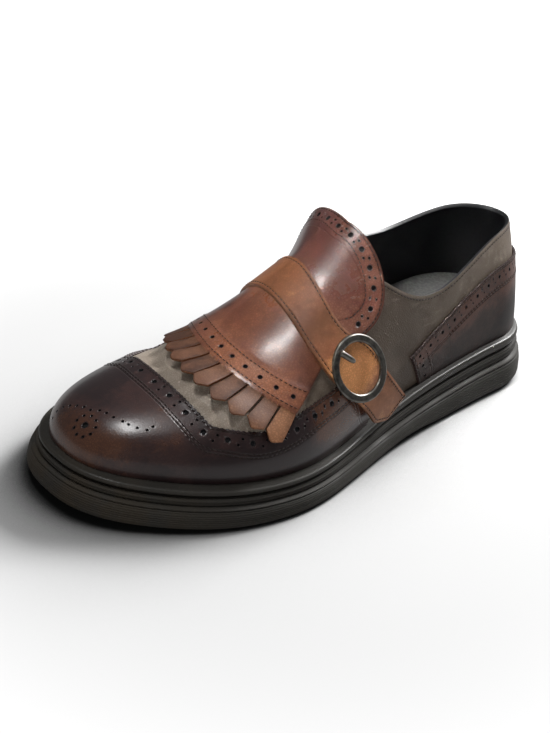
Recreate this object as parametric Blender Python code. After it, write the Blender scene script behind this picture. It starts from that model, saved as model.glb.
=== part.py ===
"""Kiltie monk strap loafer for the left foot, an assembly of separate pieces.

+X runs to the toe, +Y to the outer side of the foot and +Z up. The origin is
the bottom centre of the bounding box, on the floor.
"""
import math
from collections import namedtuple

import bmesh
import bpy
import numpy as np
from mathutils import Vector

# Driving sizes, in millimetres
MM = 0.001
LAST_LENGTH = 290.0
WALL = 2.0
SEAM_GAP = 0.3
FEATHER_TUCK = 2.0
HEEL_ROUND = 0.125
HEEL_POWER = 2.15
TOE_ROUND = 0.235
TOE_POWER = 2.35
TOE_DOME = 0.17
DOME_POWER = 2.3
THROAT = 0.54
MIDSOLE_SHARE = 0.45
MIDSOLE_SET_BACK = 1.0
WELT_SET_BACK = 2.4
WELT_BEAD = 0.6
INSOLE_RISE = 1.6
HEEL_SEAT = 13.0
SEAT_END = 0.15
SEAT_RUN = 0.42
INSOLE_CLEARANCE = 0.8
ARCH_RISE = 1.8
ARCH_START = 0.29
ARCH_END = 0.52
SPRING_START = 0.77
TOE_SPRING = 4.2
HEEL_BEVEL = 1.0
OVERLAY_GAP = 0.4
OVERLAY_THICK = 1.2
WING_START = 0.52
WING_FRONT = 0.836
WING_CORNER = 0.26
FOXING_FRONT = 0.365
FOXING_SLANT = 0.045
FLAP_THICK = 1.5
FLAP_BACK_HALF = 38.5
FLAP_FRONT_HALF = 40.5
BAND_APEX = 0.754
BAND_SWEEP = 0.053
BAND_LIFT = 2.1
STRIPS = 10
STRIP_SLIT = 0.9
STRIP_LENGTH = 17.0
STRIP_SHORTENING = 2.5
STRIP_FAN = 30.0
STRIP_POINT = 0.74
TONGUE_TIP = 32.5
TONGUE_LIFT = 3.0
STRAP_LIFT = 2.55
STRAP_THICK = 2.0
RING_ALONG = 0.572
RING_GIRTH = 54.5
RING_RADIUS = 14.2
RING_TUBE = 2.0
RING_DEPTH = 1.4
RING_LIFT = 2.8
RING_TILT = 0.08
RING_LEAN = 0.16
PRONG_RADIUS = 1.5
PRONG_LENGTH = 9.6
PRONG_OVERHANG = 1.0

# One row per section of the last, heel to toe
Section = namedtuple("Section", "along half centre ridge lean fullness feather edge stack")
SECTIONS = (
    Section(0.00, 31.0, -0.2, 72.0, 0.0, 2.05, 31.0, 4.8, 13.0),
    Section(0.12, 32.0, -0.6, 80.0, 0.0, 2.05, 30.3, 4.8, 13.0),
    Section(0.25, 33.2, 0.8, 94.0, -1.0, 2.05, 28.3, 4.7, 12.6),
    Section(0.40, 34.8, 3.6, 95.0, -2.0, 2.00, 24.0, 5.0, 11.6),
    Section(0.50, 39.0, 4.5, 81.5, -3.0, 1.87, 20.8, 5.3, 10.2),
    Section(0.60, 45.8, 4.3, 63.0, -3.5, 1.86, 18.3, 6.0, 8.6),
    Section(0.70, 50.4, 3.0, 42.4, -2.5, 2.00, 17.3, 6.6, 7.6),
    Section(0.78, 50.2, -0.7, 34.0, -0.5, 2.08, 17.4, 6.9, 7.3),
    Section(0.86, 46.8, -4.6, 27.8, 1.0, 2.12, 18.7, 7.1, 7.3),
    Section(0.93, 42.9, -7.5, 25.0, 2.0, 2.16, 20.6, 7.2, 7.3),
    Section(1.00, 39.7, -8.6, 24.4, 2.0, 2.20, 23.3, 7.3, 7.3),
)

# Outer and inner half of the tongue: length at its side, extra length, half width
TongueSide = namedtuple("TongueSide", "base flare half")
TONGUE_OUTER = TongueSide(24.0, 11.0, 46.0)
TONGUE_INNER = TongueSide(29.0, 3.5, 53.0)

# Height of the topline over the feather edge on each side
Collar = namedtuple("Collar", "along lateral medial")
COLLAR = (
    Collar(0.00, 61.0, 61.0),
    Collar(0.06, 61.2, 61.0),
    Collar(0.12, 60.3, 59.3),
    Collar(0.18, 57.6, 56.6),
    Collar(0.24, 53.7, 54.5),
    Collar(0.30, 49.7, 55.2),
    Collar(0.35, 48.8, 58.0),
    Collar(0.40, 52.3, 62.0),
    Collar(0.44, 58.6, 65.8),
    Collar(0.48, 66.5, 70.0),
    Collar(0.54, 74.7, 74.7),
)

# How far the back of the heel leans forward with height over the feather edge
Back = namedtuple("Back", "height forward")
BACK = (Back(0, 0.0), Back(20, 7.0), Back(40, 12.0), Back(58, 14.8), Back(110, 22.0))

# Upper edge of the wing cap along the sides, as a turn around the section
Wing = namedtuple("Wing", "along lateral medial")
WING = (
    Wing(0.52, 0.055, 0.055),
    Wing(0.55, 0.130, 0.125),
    Wing(0.61, 0.172, 0.165),
    Wing(0.67, 0.188, 0.182),
    Wing(0.74, 0.187, 0.185),
    Wing(0.79, 0.205, 0.205),
    Wing(0.836, 0.260, 0.260),
)

# Upper edge of the heel foxing over the feather edge
Foxing = namedtuple("Foxing", "along height")
FOXING = (
    Foxing(0.00, 44.0),
    Foxing(0.08, 45.0),
    Foxing(0.16, 43.0),
    Foxing(0.24, 38.0),
    Foxing(0.33, 29.5),
    Foxing(0.41, 21.0),
)

# Corners of the tail: share of the half width and girth of the middle line there
TAIL = ((-1.0, 102.0), (0.4, 97.6), (1.0, 86.4))

# Middle line of the strap from the inner side to the tail, with its half width
Strap = namedtuple("Strap", "girth along half lift")
STRAP = (
    Strap(-80.0, 0.510, 9.2, 0.0),
    Strap(-55.0, 0.546, 9.0, 0.0),
    Strap(-28.0, 0.577, 8.5, 0.0),
    Strap(0.0, 0.601, 8.1, 0.0),
    Strap(20.0, 0.609, 8.1, 0.0),
    Strap(33.0, 0.607, 8.4, 0.0),
    Strap(43.0, 0.596, 9.0, 0.0),
    Strap(56.0, 0.567, 10.0, 0.3),
    Strap(70.0, 0.537, 8.8, 1.4),
    Strap(84.0, 0.507, 8.3, 2.4),
    Strap(108.0, 0.453, 8.4, 3.5),
)

# Side of the outsole from the floor to its top edge
Side = namedtuple("Side", "share spread")
SIDE = (
    Side(0.00, 0.5),
    Side(0.12, 2.0),
    Side(0.45, 2.5),
    Side(0.80, 1.5),
    Side(1.00, 0.0),
)

# Lift of each fringe strip at its tip, inner side first
STRIP_RISE = (1.2, 1.6, 2.2, 3.5, 3.0, 4.2, 3.6, 4.6, 3.6, 1.4)

# Colour, roughness and metallic of each piece
Finish = namedtuple("Finish", "colour roughness metallic")
FINISH = {
    "outsole": Finish((0.020, 0.019, 0.017), 0.62, 0.0),
    "midsole": Finish((0.012, 0.012, 0.011), 0.60, 0.0),
    "welt": Finish((0.014, 0.013, 0.012), 0.35, 0.0),
    "insole": Finish((0.045, 0.045, 0.047), 0.70, 0.0),
    "upper": Finish((0.150, 0.132, 0.115), 0.48, 0.0),
    "wing_cap": Finish((0.060, 0.032, 0.030), 0.30, 0.0),
    "heel_foxing": Finish((0.062, 0.034, 0.030), 0.33, 0.0),
    "kiltie": Finish((0.235, 0.105, 0.062), 0.34, 0.0),
    "tongue": Finish((0.165, 0.064, 0.045), 0.33, 0.0),
    "strap": Finish((0.300, 0.135, 0.066), 0.36, 0.0),
    "buckle_ring": Finish((0.330, 0.325, 0.310), 0.30, 1.0),
    "buckle_prong": Finish((0.330, 0.325, 0.310), 0.30, 1.0),
}


class Spline:
    """Smooth curve through one column of a table."""

    def __init__(self, rows, column):
        self.x = np.array([row[0] for row in rows], dtype=float)
        self.y = np.array([getattr(row, column) for row in rows], dtype=float)
        count = len(self.x)
        step = np.diff(self.x)
        system = np.zeros((count, count))
        right = np.zeros(count)
        system[0, 0] = 1.0
        system[-1, -1] = 1.0
        for i in range(1, count - 1):
            system[i, i - 1] = step[i - 1]
            system[i, i] = 2.0 * (step[i - 1] + step[i])
            system[i, i + 1] = step[i]
            rise = np.diff(self.y)[i] / step[i] - np.diff(self.y)[i - 1] / step[i - 1]
            right[i] = 6.0 * rise
        self.bend = np.linalg.solve(system, right)
        self.step = step

    def __call__(self, x):
        x = np.clip(np.asarray(x, dtype=float), self.x[0], self.x[-1])
        i = np.clip(np.searchsorted(self.x, x) - 1, 0, len(self.step) - 1)
        h = self.step[i]
        after = x - self.x[i]
        before = self.x[i + 1] - x
        cubic = (self.bend[i] * before ** 3 + self.bend[i + 1] * after ** 3) / (6.0 * h)
        start = (self.y[i] / h - self.bend[i] * h / 6.0) * before
        end = (self.y[i + 1] / h - self.bend[i + 1] * h / 6.0) * after
        return cubic + start + end


half_width = Spline(SECTIONS, "half")
centre_line = Spline(SECTIONS, "centre")
ridge_height = Spline(SECTIONS, "ridge")
ridge_lean = Spline(SECTIONS, "lean")
fullness = Spline(SECTIONS, "fullness")
feather = Spline(SECTIONS, "feather")
sole_edge = Spline(SECTIONS, "edge")
sole_stack = Spline(SECTIONS, "stack")
back_lean = Spline(BACK, "forward")
collar_lateral = Spline(COLLAR, "lateral")
collar_medial = Spline(COLLAR, "medial")
wing_lateral = Spline(WING, "lateral")
wing_medial = Spline(WING, "medial")
foxing_height = Spline(FOXING, "height")
strap_along = Spline(STRAP, "along")
strap_half = Spline(STRAP, "half")
strap_lift = Spline(STRAP, "lift")


def end_round(run, power):
    """Plan rounding of an end: 0 at the tip and 1 where the round is over."""
    run = np.clip(run, 0.0, 1.0)
    return (1.0 - (1.0 - run) ** power) ** (1.0 / power)


def plan_round(along):
    heel = end_round(along / HEEL_ROUND, HEEL_POWER)
    return heel * end_round((1.0 - along) / TOE_ROUND, TOE_POWER)


def dome(along):
    return end_round((1.0 - along) / TOE_DOME, DOME_POWER)


def heel_lean(along, height):
    """How far the back of the heel leans forward at a height over the feather edge."""
    return back_lean(height) * np.clip(1.0 - along / 0.4, 0.0, 1.0) ** 2


def last_point(along, turn, grow=0.0):
    """Point of the last: turn 0 is the outer feather edge and 1 the inner one."""
    along = np.asarray(along, dtype=float)
    angle = math.pi * np.asarray(turn, dtype=float)
    power = 2.0 / fullness(along)
    side = np.sign(np.cos(angle))
    rise = np.abs(np.sin(angle))
    wide = (half_width(along) + grow) * plan_round(along)
    high = (ridge_height(along) + grow) * dome(along)
    height = high * rise ** power
    tuck = FEATHER_TUCK * plan_round(along) * (1.0 - rise) ** 3
    y = centre_line(along) + ridge_lean(along) * rise ** 2 * dome(along)
    y = y + side * (wide * np.abs(np.cos(angle)) ** power - tuck)
    x = along * (LAST_LENGTH + 2.0 * grow) - grow
    x = x + heel_lean(along, height)
    return np.stack(np.broadcast_arrays(x, y, feather(along) + height), axis=-1)


def turn_at_height(along, height):
    """Turn on the outer half at which the section is this high."""
    high = float(ridge_height(along) * dome(along))
    share = min(max(height / high, 0.0), 1.0)
    return math.asin(min(share ** (float(fullness(along)) / 2.0), 1.0)) / math.pi


TURNS = np.linspace(0.0, 1.0, 161)


def turn_at_girth(along, girth):
    """Turn at a distance over the section from the ridge, outer side positive."""
    line = last_point(along, TURNS)
    run = np.linalg.norm(np.diff(line, axis=0), axis=1)
    length = np.concatenate(([0.0], np.cumsum(run)))
    middle = np.interp(0.5, TURNS, length)
    return float(np.interp(middle - girth, length, TURNS))


def flap_point(x, girth, grow):
    along = min(max(x / LAST_LENGTH, 0.0), 1.0)
    return last_point(along, turn_at_girth(along, girth), grow)


def smooth(value):
    value = min(max(value, 0.0), 1.0)
    return value * value * (3.0 - 2.0 * value)


def stations(count):
    """Positions from heel to toe, closer together at both ends."""
    return [0.5 - 0.5 * math.cos(math.pi * i / count) for i in range(count + 1)]


def floor_line(along):
    """Height of the underside over the floor: arch, toe spring, heel bevel."""
    if ARCH_START < along < ARCH_END:
        run = (along - ARCH_START) / (ARCH_END - ARCH_START)
        return ARCH_RISE * math.sin(math.pi * run) ** 2
    if along > SPRING_START:
        return TOE_SPRING * ((along - SPRING_START) / (1.0 - SPRING_START)) ** 1.8
    if along < 0.03:
        return HEEL_BEVEL * (1.0 - along / 0.03) ** 1.5
    return 0.0


def plan_point(along, side, grow):
    x = along * LAST_LENGTH + grow * (2.0 * along - 1.0)
    wide = (float(half_width(along)) + grow) * float(plan_round(along))
    return x, float(centre_line(along)) + side * wide


def plan_extent():
    spread = max(row.spread for row in SIDE)
    spots = []
    for along in stations(400):
        for side in (1.0, -1.0):
            spots.append(plan_point(along, side, float(sole_edge(along)) + spread))
    low = [min(spot[i] for spot in spots) for i in (0, 1)]
    high = [max(spot[i] for spot in spots) for i in (0, 1)]
    return 0.5 * (low[0] + high[0]), 0.5 * (low[1] + high[1])


MIDDLE_X, MIDDLE_Y = plan_extent()


def world(point):
    return Vector((point[0] - MIDDLE_X, point[1] - MIDDLE_Y, point[2])) * MM


def finish_piece(bm, name):
    bmesh.ops.remove_doubles(bm, verts=bm.verts[:], dist=0.00002)
    bmesh.ops.dissolve_degenerate(bm, dist=0.00001, edges=bm.edges[:])
    bmesh.ops.recalc_face_normals(bm, faces=bm.faces[:])
    mesh = bpy.data.meshes.new(name)
    bm.to_mesh(mesh)
    bm.free()
    mesh.shade_smooth()
    piece = bpy.data.objects.new(name, mesh)
    bpy.context.collection.objects.link(piece)
    finish = FINISH[name]
    material = bpy.data.materials.new(name)
    material.use_nodes = True
    shader = material.node_tree.nodes["Principled BSDF"]
    shader.inputs["Base Color"].default_value = (*finish.colour, 1.0)
    shader.inputs["Roughness"].default_value = finish.roughness
    shader.inputs["Metallic"].default_value = finish.metallic
    mesh.materials.append(material)
    return piece


def wrapped(name, patches, place):
    """Wrap a flat pattern round the last and give it an inner face.

    A patch is rows of spots, each spot a tuple of pattern values, and place
    turns the values and the face number (0 outer, 1 inner) into a point.
    """
    bm = bmesh.new()
    layers = [bm.verts.layers.float.new(label) for label in ("one", "two", "three")]
    for patch in patches:
        rows = []
        for line in patch:
            row = []
            for spot in line:
                vert = bm.verts.new(world(place(*spot, 0)))
                for layer, value in zip(layers, spot):
                    vert[layer] = value
                row.append(vert)
            rows.append(row)
        for low, high in zip(rows, rows[1:]):
            for i in range(len(low) - 1):
                bm.faces.new((low[i], low[i + 1], high[i + 1], high[i]))
    bmesh.ops.remove_doubles(bm, verts=bm.verts[:], dist=0.00002)
    bmesh.ops.dissolve_degenerate(bm, dist=0.00001, edges=bm.edges[:])
    outer = bm.faces[:]
    result = bmesh.ops.extrude_face_region(bm, geom=outer, use_keep_orig=True)
    for vert in result["geom"]:
        if isinstance(vert, bmesh.types.BMVert):
            spot = [vert[layer] for layer in layers]
            vert.co = world(place(*spot, 1))
    return finish_piece(bm, name)


def plate(name, levels, count):
    """Slab with a plan outline: a level gives the spread and height at a station."""
    bm = bmesh.new()
    spots = stations(count)
    rings = []
    for spread, height in levels:
        ring = []
        for side in (1.0, -1.0):
            line = []
            for along in spots:
                x, y = plan_point(along, side, spread(along))
                z = height(along)
                x += float(heel_lean(along, max(z - float(feather(along)), 0.0)))
                line.append(bm.verts.new(world((x, y, z))))
            ring.append(line)
        rings.append(ring)
    for low, high in zip(rings, rings[1:]):
        for side in (0, 1):
            for i in range(count):
                bm.faces.new((low[side][i], low[side][i + 1], high[side][i + 1], high[side][i]))
    for ring in (rings[0], rings[-1]):
        for i in range(count):
            bm.faces.new((ring[0][i], ring[0][i + 1], ring[1][i + 1], ring[1][i]))
    return finish_piece(bm, name)


def sole_top(along):
    return float(feather(along) - sole_stack(along))


def midsole_top(along):
    return sole_top(along) + SEAM_GAP + MIDSOLE_SHARE * float(sole_stack(along))


def make_outsole():
    levels = []
    for row in SIDE:
        def spread(along, row=row):
            return float(sole_edge(along)) + row.spread

        def height(along, row=row):
            low = floor_line(along)
            return low + row.share * (sole_top(along) - low)
        levels.append((spread, height))
    plate("outsole", levels, 52)


def make_midsole():
    def spread(along):
        return float(sole_edge(along)) - MIDSOLE_SET_BACK

    levels = [(spread, lambda along: sole_top(along) + SEAM_GAP),
              (spread, midsole_top)]
    plate("midsole", levels, 44)


def make_insole():
    def spread(along):
        return -(WALL + FEATHER_TUCK + INSOLE_CLEARANCE)

    def top(along):
        seat = HEEL_SEAT * (1.0 - smooth((along - SEAT_END) / SEAT_RUN))
        return float(feather(along)) + INSOLE_RISE + seat

    levels = [(spread, lambda along: midsole_top(along) + SEAM_GAP), (spread, top)]
    plate("insole", levels, 40)


def make_welt():
    """Ring under the edge of the upper with a rolled bead round the outside."""
    section = (("in", 0.0, 0.0), ("in", 0.0, 1.0), ("out", -0.7, 1.0),
               ("out", WELT_BEAD, 0.62), ("out", -0.5, 0.0))
    spots = stations(44)
    loop = [(along, 1.0) for along in spots]
    loop += [(along, -1.0) for along in reversed(spots[1:-1])]
    bm = bmesh.new()
    rings = []
    for along, side in loop:
        ring = []
        low = midsole_top(along) + SEAM_GAP
        high = float(feather(along)) - SEAM_GAP
        for edge, spread, share in section:
            if edge == "in":
                grow = -(WALL + FEATHER_TUCK)
            else:
                grow = float(sole_edge(along)) - WELT_SET_BACK + spread
            x, y = plan_point(along, side, grow)
            ring.append(bm.verts.new(world((x, y, low + share * (high - low)))))
        rings.append(ring)
    for i, ring in enumerate(rings):
        after = rings[(i + 1) % len(rings)]
        for j in range(len(section)):
            k = (j + 1) % len(section)
            bm.faces.new((ring[j], ring[k], after[k], after[j]))
    finish_piece(bm, "welt")


def shell_place(outer, inner):
    def place(along, turn, spare, face):
        return last_point(along, turn, inner if face else outer)
    return place


def make_upper():
    columns = 9
    rear = [THROAT * (1.0 - math.cos(0.5 * math.pi * i / 22)) for i in range(23)]
    front = [THROAT + (1.0 - THROAT) * math.sin(0.5 * math.pi * i / 22) for i in range(23)]
    patches = []
    for side, collar in ((0, collar_lateral), (1, collar_medial)):
        patch = []
        for along in rear + front[1:]:
            top = 0.5
            if along < THROAT - 0.0001:
                top = turn_at_height(along, float(collar(along)))
            line = []
            for j in range(columns + 1):
                turn = top * j / columns
                line.append((along, 1.0 - turn if side else turn, 0.0))
            patch.append(line)
        patches.append(patch)
    wrapped("upper", patches, shell_place(0.0, -WALL))


def wing_spot(along, turn):
    """Pattern spot of the wing cap, with the gentle curve of its back edge."""
    reach = (turn - 0.42) / 0.25
    bow = -0.018 * min(reach * reach, 1.0) * smooth((1.0 - along) / (1.0 - WING_FRONT))
    return along + bow * smooth((along - 0.74) / 0.08), turn, 0.0


def make_wing_cap():
    count = 13
    rear = [WING_START + (WING_FRONT - WING_START) * i / count for i in range(count + 1)]
    front = [WING_FRONT + (1.0 - WING_FRONT) * math.sin(0.5 * math.pi * i / 16) for i in range(17)]
    patches = []
    for side, edge in ((0, wing_lateral), (1, wing_medial)):
        low = []
        for along in rear + front[1:]:
            top = float(edge(min(along, WING_FRONT)))
            turns = [top * j / 5 for j in range(6)]
            low.append([wing_spot(along, 1.0 - t if side else t) for t in turns])
        high = []
        for along in front:
            turns = [WING_CORNER + (0.5 - WING_CORNER) * j / 5 for j in range(6)]
            high.append([wing_spot(along, 1.0 - t if side else t) for t in turns])
        patches += [low, high]
    wrapped("wing_cap", patches, shell_place(OVERLAY_GAP + OVERLAY_THICK, OVERLAY_GAP))


def make_foxing():
    count = 16
    patches = []
    for side in (0, 1):
        patch = []
        for i in range(count + 1):
            run = 1.0 - math.cos(0.5 * math.pi * i / count)
            line = []
            for j in range(6):
                along = run * (FOXING_FRONT + FOXING_SLANT * j / 5)
                turn = turn_at_height(along, float(foxing_height(along)) * j / 5)
                line.append((along, 1.0 - turn if side else turn, 0.0))
            patch.append(line)
        patches.append(patch)
    wrapped("heel_foxing", patches, shell_place(OVERLAY_GAP + OVERLAY_THICK, OVERLAY_GAP))


def flap_centre(x):
    """Girth of the middle of the flap, which drifts to the outer side forward."""
    return 1.0 + 8.0 * smooth((x / LAST_LENGTH - 0.60) / 0.15)


def flap_seam(girth):
    """Where the kiltie and the tongue meet, under the middle of the strap."""
    return float(strap_along(girth)) * LAST_LENGTH


def make_kiltie():
    slit = 0.5 * STRIP_SLIT / FLAP_FRONT_HALF
    rows = 6

    def front(q):
        return (BAND_APEX - BAND_SWEEP * q * q) * LAST_LENGTH

    def body(q, share):
        start = flap_seam(1.0 + q * FLAP_BACK_HALF) + 0.5 * SEAM_GAP
        x = start + (front(q) - start) * share
        wide = FLAP_BACK_HALF + (FLAP_FRONT_HALF - FLAP_BACK_HALF) * share
        lift = SEAM_GAP + 0.1 + (BAND_LIFT - SEAM_GAP - 0.1) * smooth(share)
        return x, flap_centre(x) + q * wide, lift

    strips = []
    for i in range(STRIPS):
        left = -1.0 + 2.0 * i / STRIPS + (slit if i else 0.0)
        right = -1.0 + 2.0 * (i + 1) / STRIPS - (slit if i < STRIPS - 1 else 0.0)
        strips.append((left, 0.5 * (left + right), right))
    across = [q for strip in strips for q in strip]
    patches = [[[body(q, k / rows) for q in across] for k in range(rows + 1)]]
    for strip, rise in zip(strips, STRIP_RISE):
        middle = strip[1]
        lean = math.radians(STRIP_FAN) * middle
        length = STRIP_LENGTH - STRIP_SHORTENING * middle * middle
        patch = []
        for share in (0.0, 0.25, 0.5, 1.0):
            line = []
            for q in strip:
                x, girth, lift = body(q, 1.0)
                reach = share * length
                if share == 1.0 and q != middle:
                    reach *= STRIP_POINT
                line.append((x + reach * math.cos(lean), girth + reach * math.sin(lean),
                             lift + rise * (reach / length) ** 1.6))
            patch.append(line)
        patches.append(patch)

    def place(x, girth, lift, face):
        return flap_point(x, girth, lift if face else lift + FLAP_THICK)
    wrapped("kiltie", patches, place)


def make_tongue():
    rows = 8
    columns = 18
    patch = []
    for k in range(rows + 1):
        line = []
        for j in range(columns + 1):
            q = math.sin(math.pi * (j / columns - 0.5))
            side = TONGUE_OUTER if q > 0.0 else TONGUE_INNER
            tip = TONGUE_TIP + side.flare * abs(q)
            full = side.base + (tip - side.base) * (1.0 - abs(q) ** 3.0) ** 0.5
            back = full * k / rows
            rise = smooth((back - 11.0) / 28.0)
            stand = TONGUE_LIFT * (1.0 + 3.6 * smooth(-1.6 * q) - 0.5 * smooth(q))
            wide = FLAP_BACK_HALF + (side.half - FLAP_BACK_HALF) * smooth(back / 20.0)
            lift = SEAM_GAP + 0.1 + stand * rise
            start = flap_seam(1.0 + q * FLAP_BACK_HALF) - 0.5 * SEAM_GAP
            line.append((start - back, 1.0 + q * wide, lift))
        patch.append(line)

    def place(x, girth, lift, face):
        return flap_point(x, girth, lift if face else lift + FLAP_THICK)
    wrapped("tongue", [patch], place)


def strap_spot(girth, across):
    """Spot on the strap: girth of its middle line and a share of its half width."""
    step = 0.5
    run = float(strap_along(girth + step) - strap_along(girth - step)) * LAST_LENGTH
    slope = run / (2.0 * step)
    size = math.hypot(1.0, slope)
    wide = across * float(strap_half(girth))
    x = float(strap_along(girth)) * LAST_LENGTH + wide / size
    return x, girth - wide * slope / size, STRAP_LIFT + float(strap_lift(girth))


def tail_end(lane):
    """Girth of the middle line at the tip of the tail, on one lane of the strap."""
    for start, end in zip(TAIL, TAIL[1:]):
        if lane <= end[0]:
            share = (lane - start[0]) / (end[0] - start[0])
            return start[1] + (end[1] - start[1]) * share
    return TAIL[-1][1]


def make_strap():
    first = STRAP[0].girth
    last = STRAP[-1].girth
    count = 34
    lanes = (-1.0, -0.5, 0.0, 0.4, 1.0)
    patch = []
    for i in range(count + 1):
        girth = first + (last - first) * i / count
        patch.append([strap_spot(girth, lane) for lane in lanes])
    tip = []
    for lane in lanes:
        tip.append(strap_spot(tail_end(lane), lane))
    patch = patch[:-5] + [tip]

    def place(x, girth, lift, face):
        return flap_point(x, girth, lift if face else lift + STRAP_THICK)
    wrapped("strap", [patch], place)


def ring_frame():
    """Middle of the buckle with its outward, down and forward directions."""
    x = RING_ALONG * LAST_LENGTH
    grow = STRAP_LIFT + STRAP_THICK
    spot = Vector(flap_point(x, RING_GIRTH, grow))
    down = Vector(flap_point(x, RING_GIRTH + 12.0, grow)) - Vector(flap_point(x, RING_GIRTH - 12.0, grow))
    ahead = Vector(flap_point(x + 12.0, RING_GIRTH, grow)) - Vector(flap_point(x - 12.0, RING_GIRTH, grow))
    out = down.cross(ahead).normalized()
    if out.y < 0.0:
        out.negate()
    out = (out + RING_TILT * ahead.normalized() - RING_LEAN * down.normalized()).normalized()
    down = (down - out * down.dot(out)).normalized()
    ahead = out.cross(down).normalized()
    if ahead.x < 0.0:
        ahead.negate()
    return spot, out, down, ahead


def make_ring():
    """Round frame with a shallow groove between two rounded rims."""
    spot, out, down, ahead = ring_frame()
    count = 30
    profile = []
    for j in range(10):
        angle = 2.0 * math.pi * j / 10
        groove = 0.35 * max(math.sin(angle), 0.0) ** 4
        profile.append((RING_TUBE * math.cos(angle), RING_DEPTH * math.sin(angle) - groove))
    bm = bmesh.new()
    rings = []
    for i in range(count):
        turn = 2.0 * math.pi * i / count
        way = ahead * math.cos(turn) + down * math.sin(turn)
        ring = []
        for wide, deep in profile:
            point = spot + way * (RING_RADIUS + wide) + out * (RING_LIFT + deep)
            ring.append(bm.verts.new(world(point)))
        rings.append(ring)
    for i, ring in enumerate(rings):
        after = rings[(i + 1) % count]
        for j in range(10):
            k = (j + 1) % 10
            bm.faces.new((ring[j], ring[k], after[k], after[j]))
    finish_piece(bm, "buckle_ring")


def make_prong():
    """Short peg that rests on the ring and points to the middle of the buckle."""
    spot, out, down, ahead = ring_frame()
    way = (ahead * 0.75 - down * 0.66).normalized()
    side = way.cross(out).normalized()
    start = RING_RADIUS + PRONG_OVERHANG
    rest = RING_LIFT + RING_DEPTH + PRONG_RADIUS + 0.5 * SEAM_GAP
    rows = ((0.0, 0.8), (0.0, 1.0), (0.7, 0.95), (0.92, 0.7), (1.0, 0.3))
    count = 10
    bm = bmesh.new()
    rings = []
    for share, size in rows:
        ring = []
        for j in range(count):
            angle = 2.0 * math.pi * j / count
            turn = side * math.cos(angle) + out * math.sin(angle)
            inward = start - PRONG_LENGTH * share
            point = spot + way * inward + out * rest + turn * PRONG_RADIUS * size
            ring.append(bm.verts.new(world(point)))
        rings.append(ring)
    for low, high in zip(rings, rings[1:]):
        for j in range(count):
            k = (j + 1) % count
            bm.faces.new((low[j], low[k], high[k], high[j]))
    bm.faces.new(rings[0])
    bm.faces.new(rings[-1])
    finish_piece(bm, "buckle_prong")


for old in list(bpy.data.objects):
    bpy.data.objects.remove(old, do_unlink=True)

make_outsole()
make_midsole()
make_welt()
make_insole()
make_upper()
make_wing_cap()
make_foxing()
make_kiltie()
make_tongue()
make_strap()
make_ring()
make_prong()
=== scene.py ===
"""Kiltie monk strap loafer: leather, stitching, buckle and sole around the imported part.

Sizes are millimetres in the frame of the last, heel to toe, and become metres
in the frame of the part. Girths run over the last from its ridge, outer side positive.
"""
import math
from collections import namedtuple

import bmesh
import bpy
import numpy as np
from bpy.props import FloatProperty, FloatVectorProperty, PointerProperty
from bpy.types import Operator, Panel, PropertyGroup
from mathutils import Matrix, Quaternion, Vector
from mathutils.bvhtree import BVHTree

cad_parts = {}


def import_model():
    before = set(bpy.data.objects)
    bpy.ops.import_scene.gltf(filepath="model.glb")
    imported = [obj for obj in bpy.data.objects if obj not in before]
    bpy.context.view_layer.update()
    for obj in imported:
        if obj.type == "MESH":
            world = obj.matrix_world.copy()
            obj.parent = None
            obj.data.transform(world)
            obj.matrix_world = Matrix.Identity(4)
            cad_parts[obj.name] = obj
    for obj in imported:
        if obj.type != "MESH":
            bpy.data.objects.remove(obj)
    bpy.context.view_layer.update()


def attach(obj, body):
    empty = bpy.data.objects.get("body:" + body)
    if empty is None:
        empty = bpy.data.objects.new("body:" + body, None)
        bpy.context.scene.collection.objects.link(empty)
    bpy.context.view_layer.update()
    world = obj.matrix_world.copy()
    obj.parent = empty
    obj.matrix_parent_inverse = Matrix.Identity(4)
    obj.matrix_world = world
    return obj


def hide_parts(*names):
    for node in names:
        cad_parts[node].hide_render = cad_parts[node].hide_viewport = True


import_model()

bl_info = {
    "name": "Kiltie Monk Strap Loafer",
    "version": (1, 0, 0),
    "blender": (4, 5, 0),
    "location": "View3D > Sidebar > Loafer",
    "description": "Dresses the packed loafer with leather, stitching, buckle and sole",
    "category": "Object",
}

# Driving sizes of the last and its pieces: millimetres, or shares of the length
MM = 0.001
LAST_LENGTH = 290.0
WALL = 2.0
SEAM_GAP = 0.3
FEATHER_TUCK = 2.0
HEEL_ROUND = 0.125
HEEL_POWER = 2.15
HEEL_LEAN_RUN = 0.4
TOE_ROUND = 0.235
TOE_POWER = 2.35
TOE_DOME = 0.17
DOME_POWER = 2.3
THROAT = 0.54
MIDSOLE_SHARE = 0.45
MIDSOLE_SET_BACK = 1.0
WELT_SET_BACK = 2.4
INSOLE_RISE = 1.6
HEEL_SEAT = 13.0
SEAT_END = 0.15
SEAT_RUN = 0.42
INSOLE_CLEARANCE = 0.8
ARCH_RISE = 1.8
ARCH_START = 0.29
ARCH_END = 0.52
SPRING_START = 0.77
TOE_SPRING = 4.2
SPRING_POWER = 1.8
HEEL_BEVEL = 1.0
BEVEL_RUN = 0.03
BEVEL_POWER = 1.5
OVERLAY_GAP = 0.4
OVERLAY_THICK = 1.2
WING_START = 0.52
WING_FRONT = 0.836
WING_CORNER = 0.26
FOXING_FRONT = 0.365
FOXING_SLANT = 0.045
FLAP_THICK = 1.5
FLAP_BACK_HALF = 38.5
FLAP_FRONT_HALF = 40.5
FLAP_LIFT = 0.4
FLAP_MIDDLE = 1.0
FLAP_DRIFT = 8.0
DRIFT_START = 0.60
DRIFT_RUN = 0.15
BAND_APEX = 0.754
BAND_SWEEP = 0.053
BAND_LIFT = 2.1
STRIPS = 10
STRIP_SLIT = 0.9
STRIP_LENGTH = 17.0
STRIP_SHORTENING = 2.5
STRIP_FAN = 30.0
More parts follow.
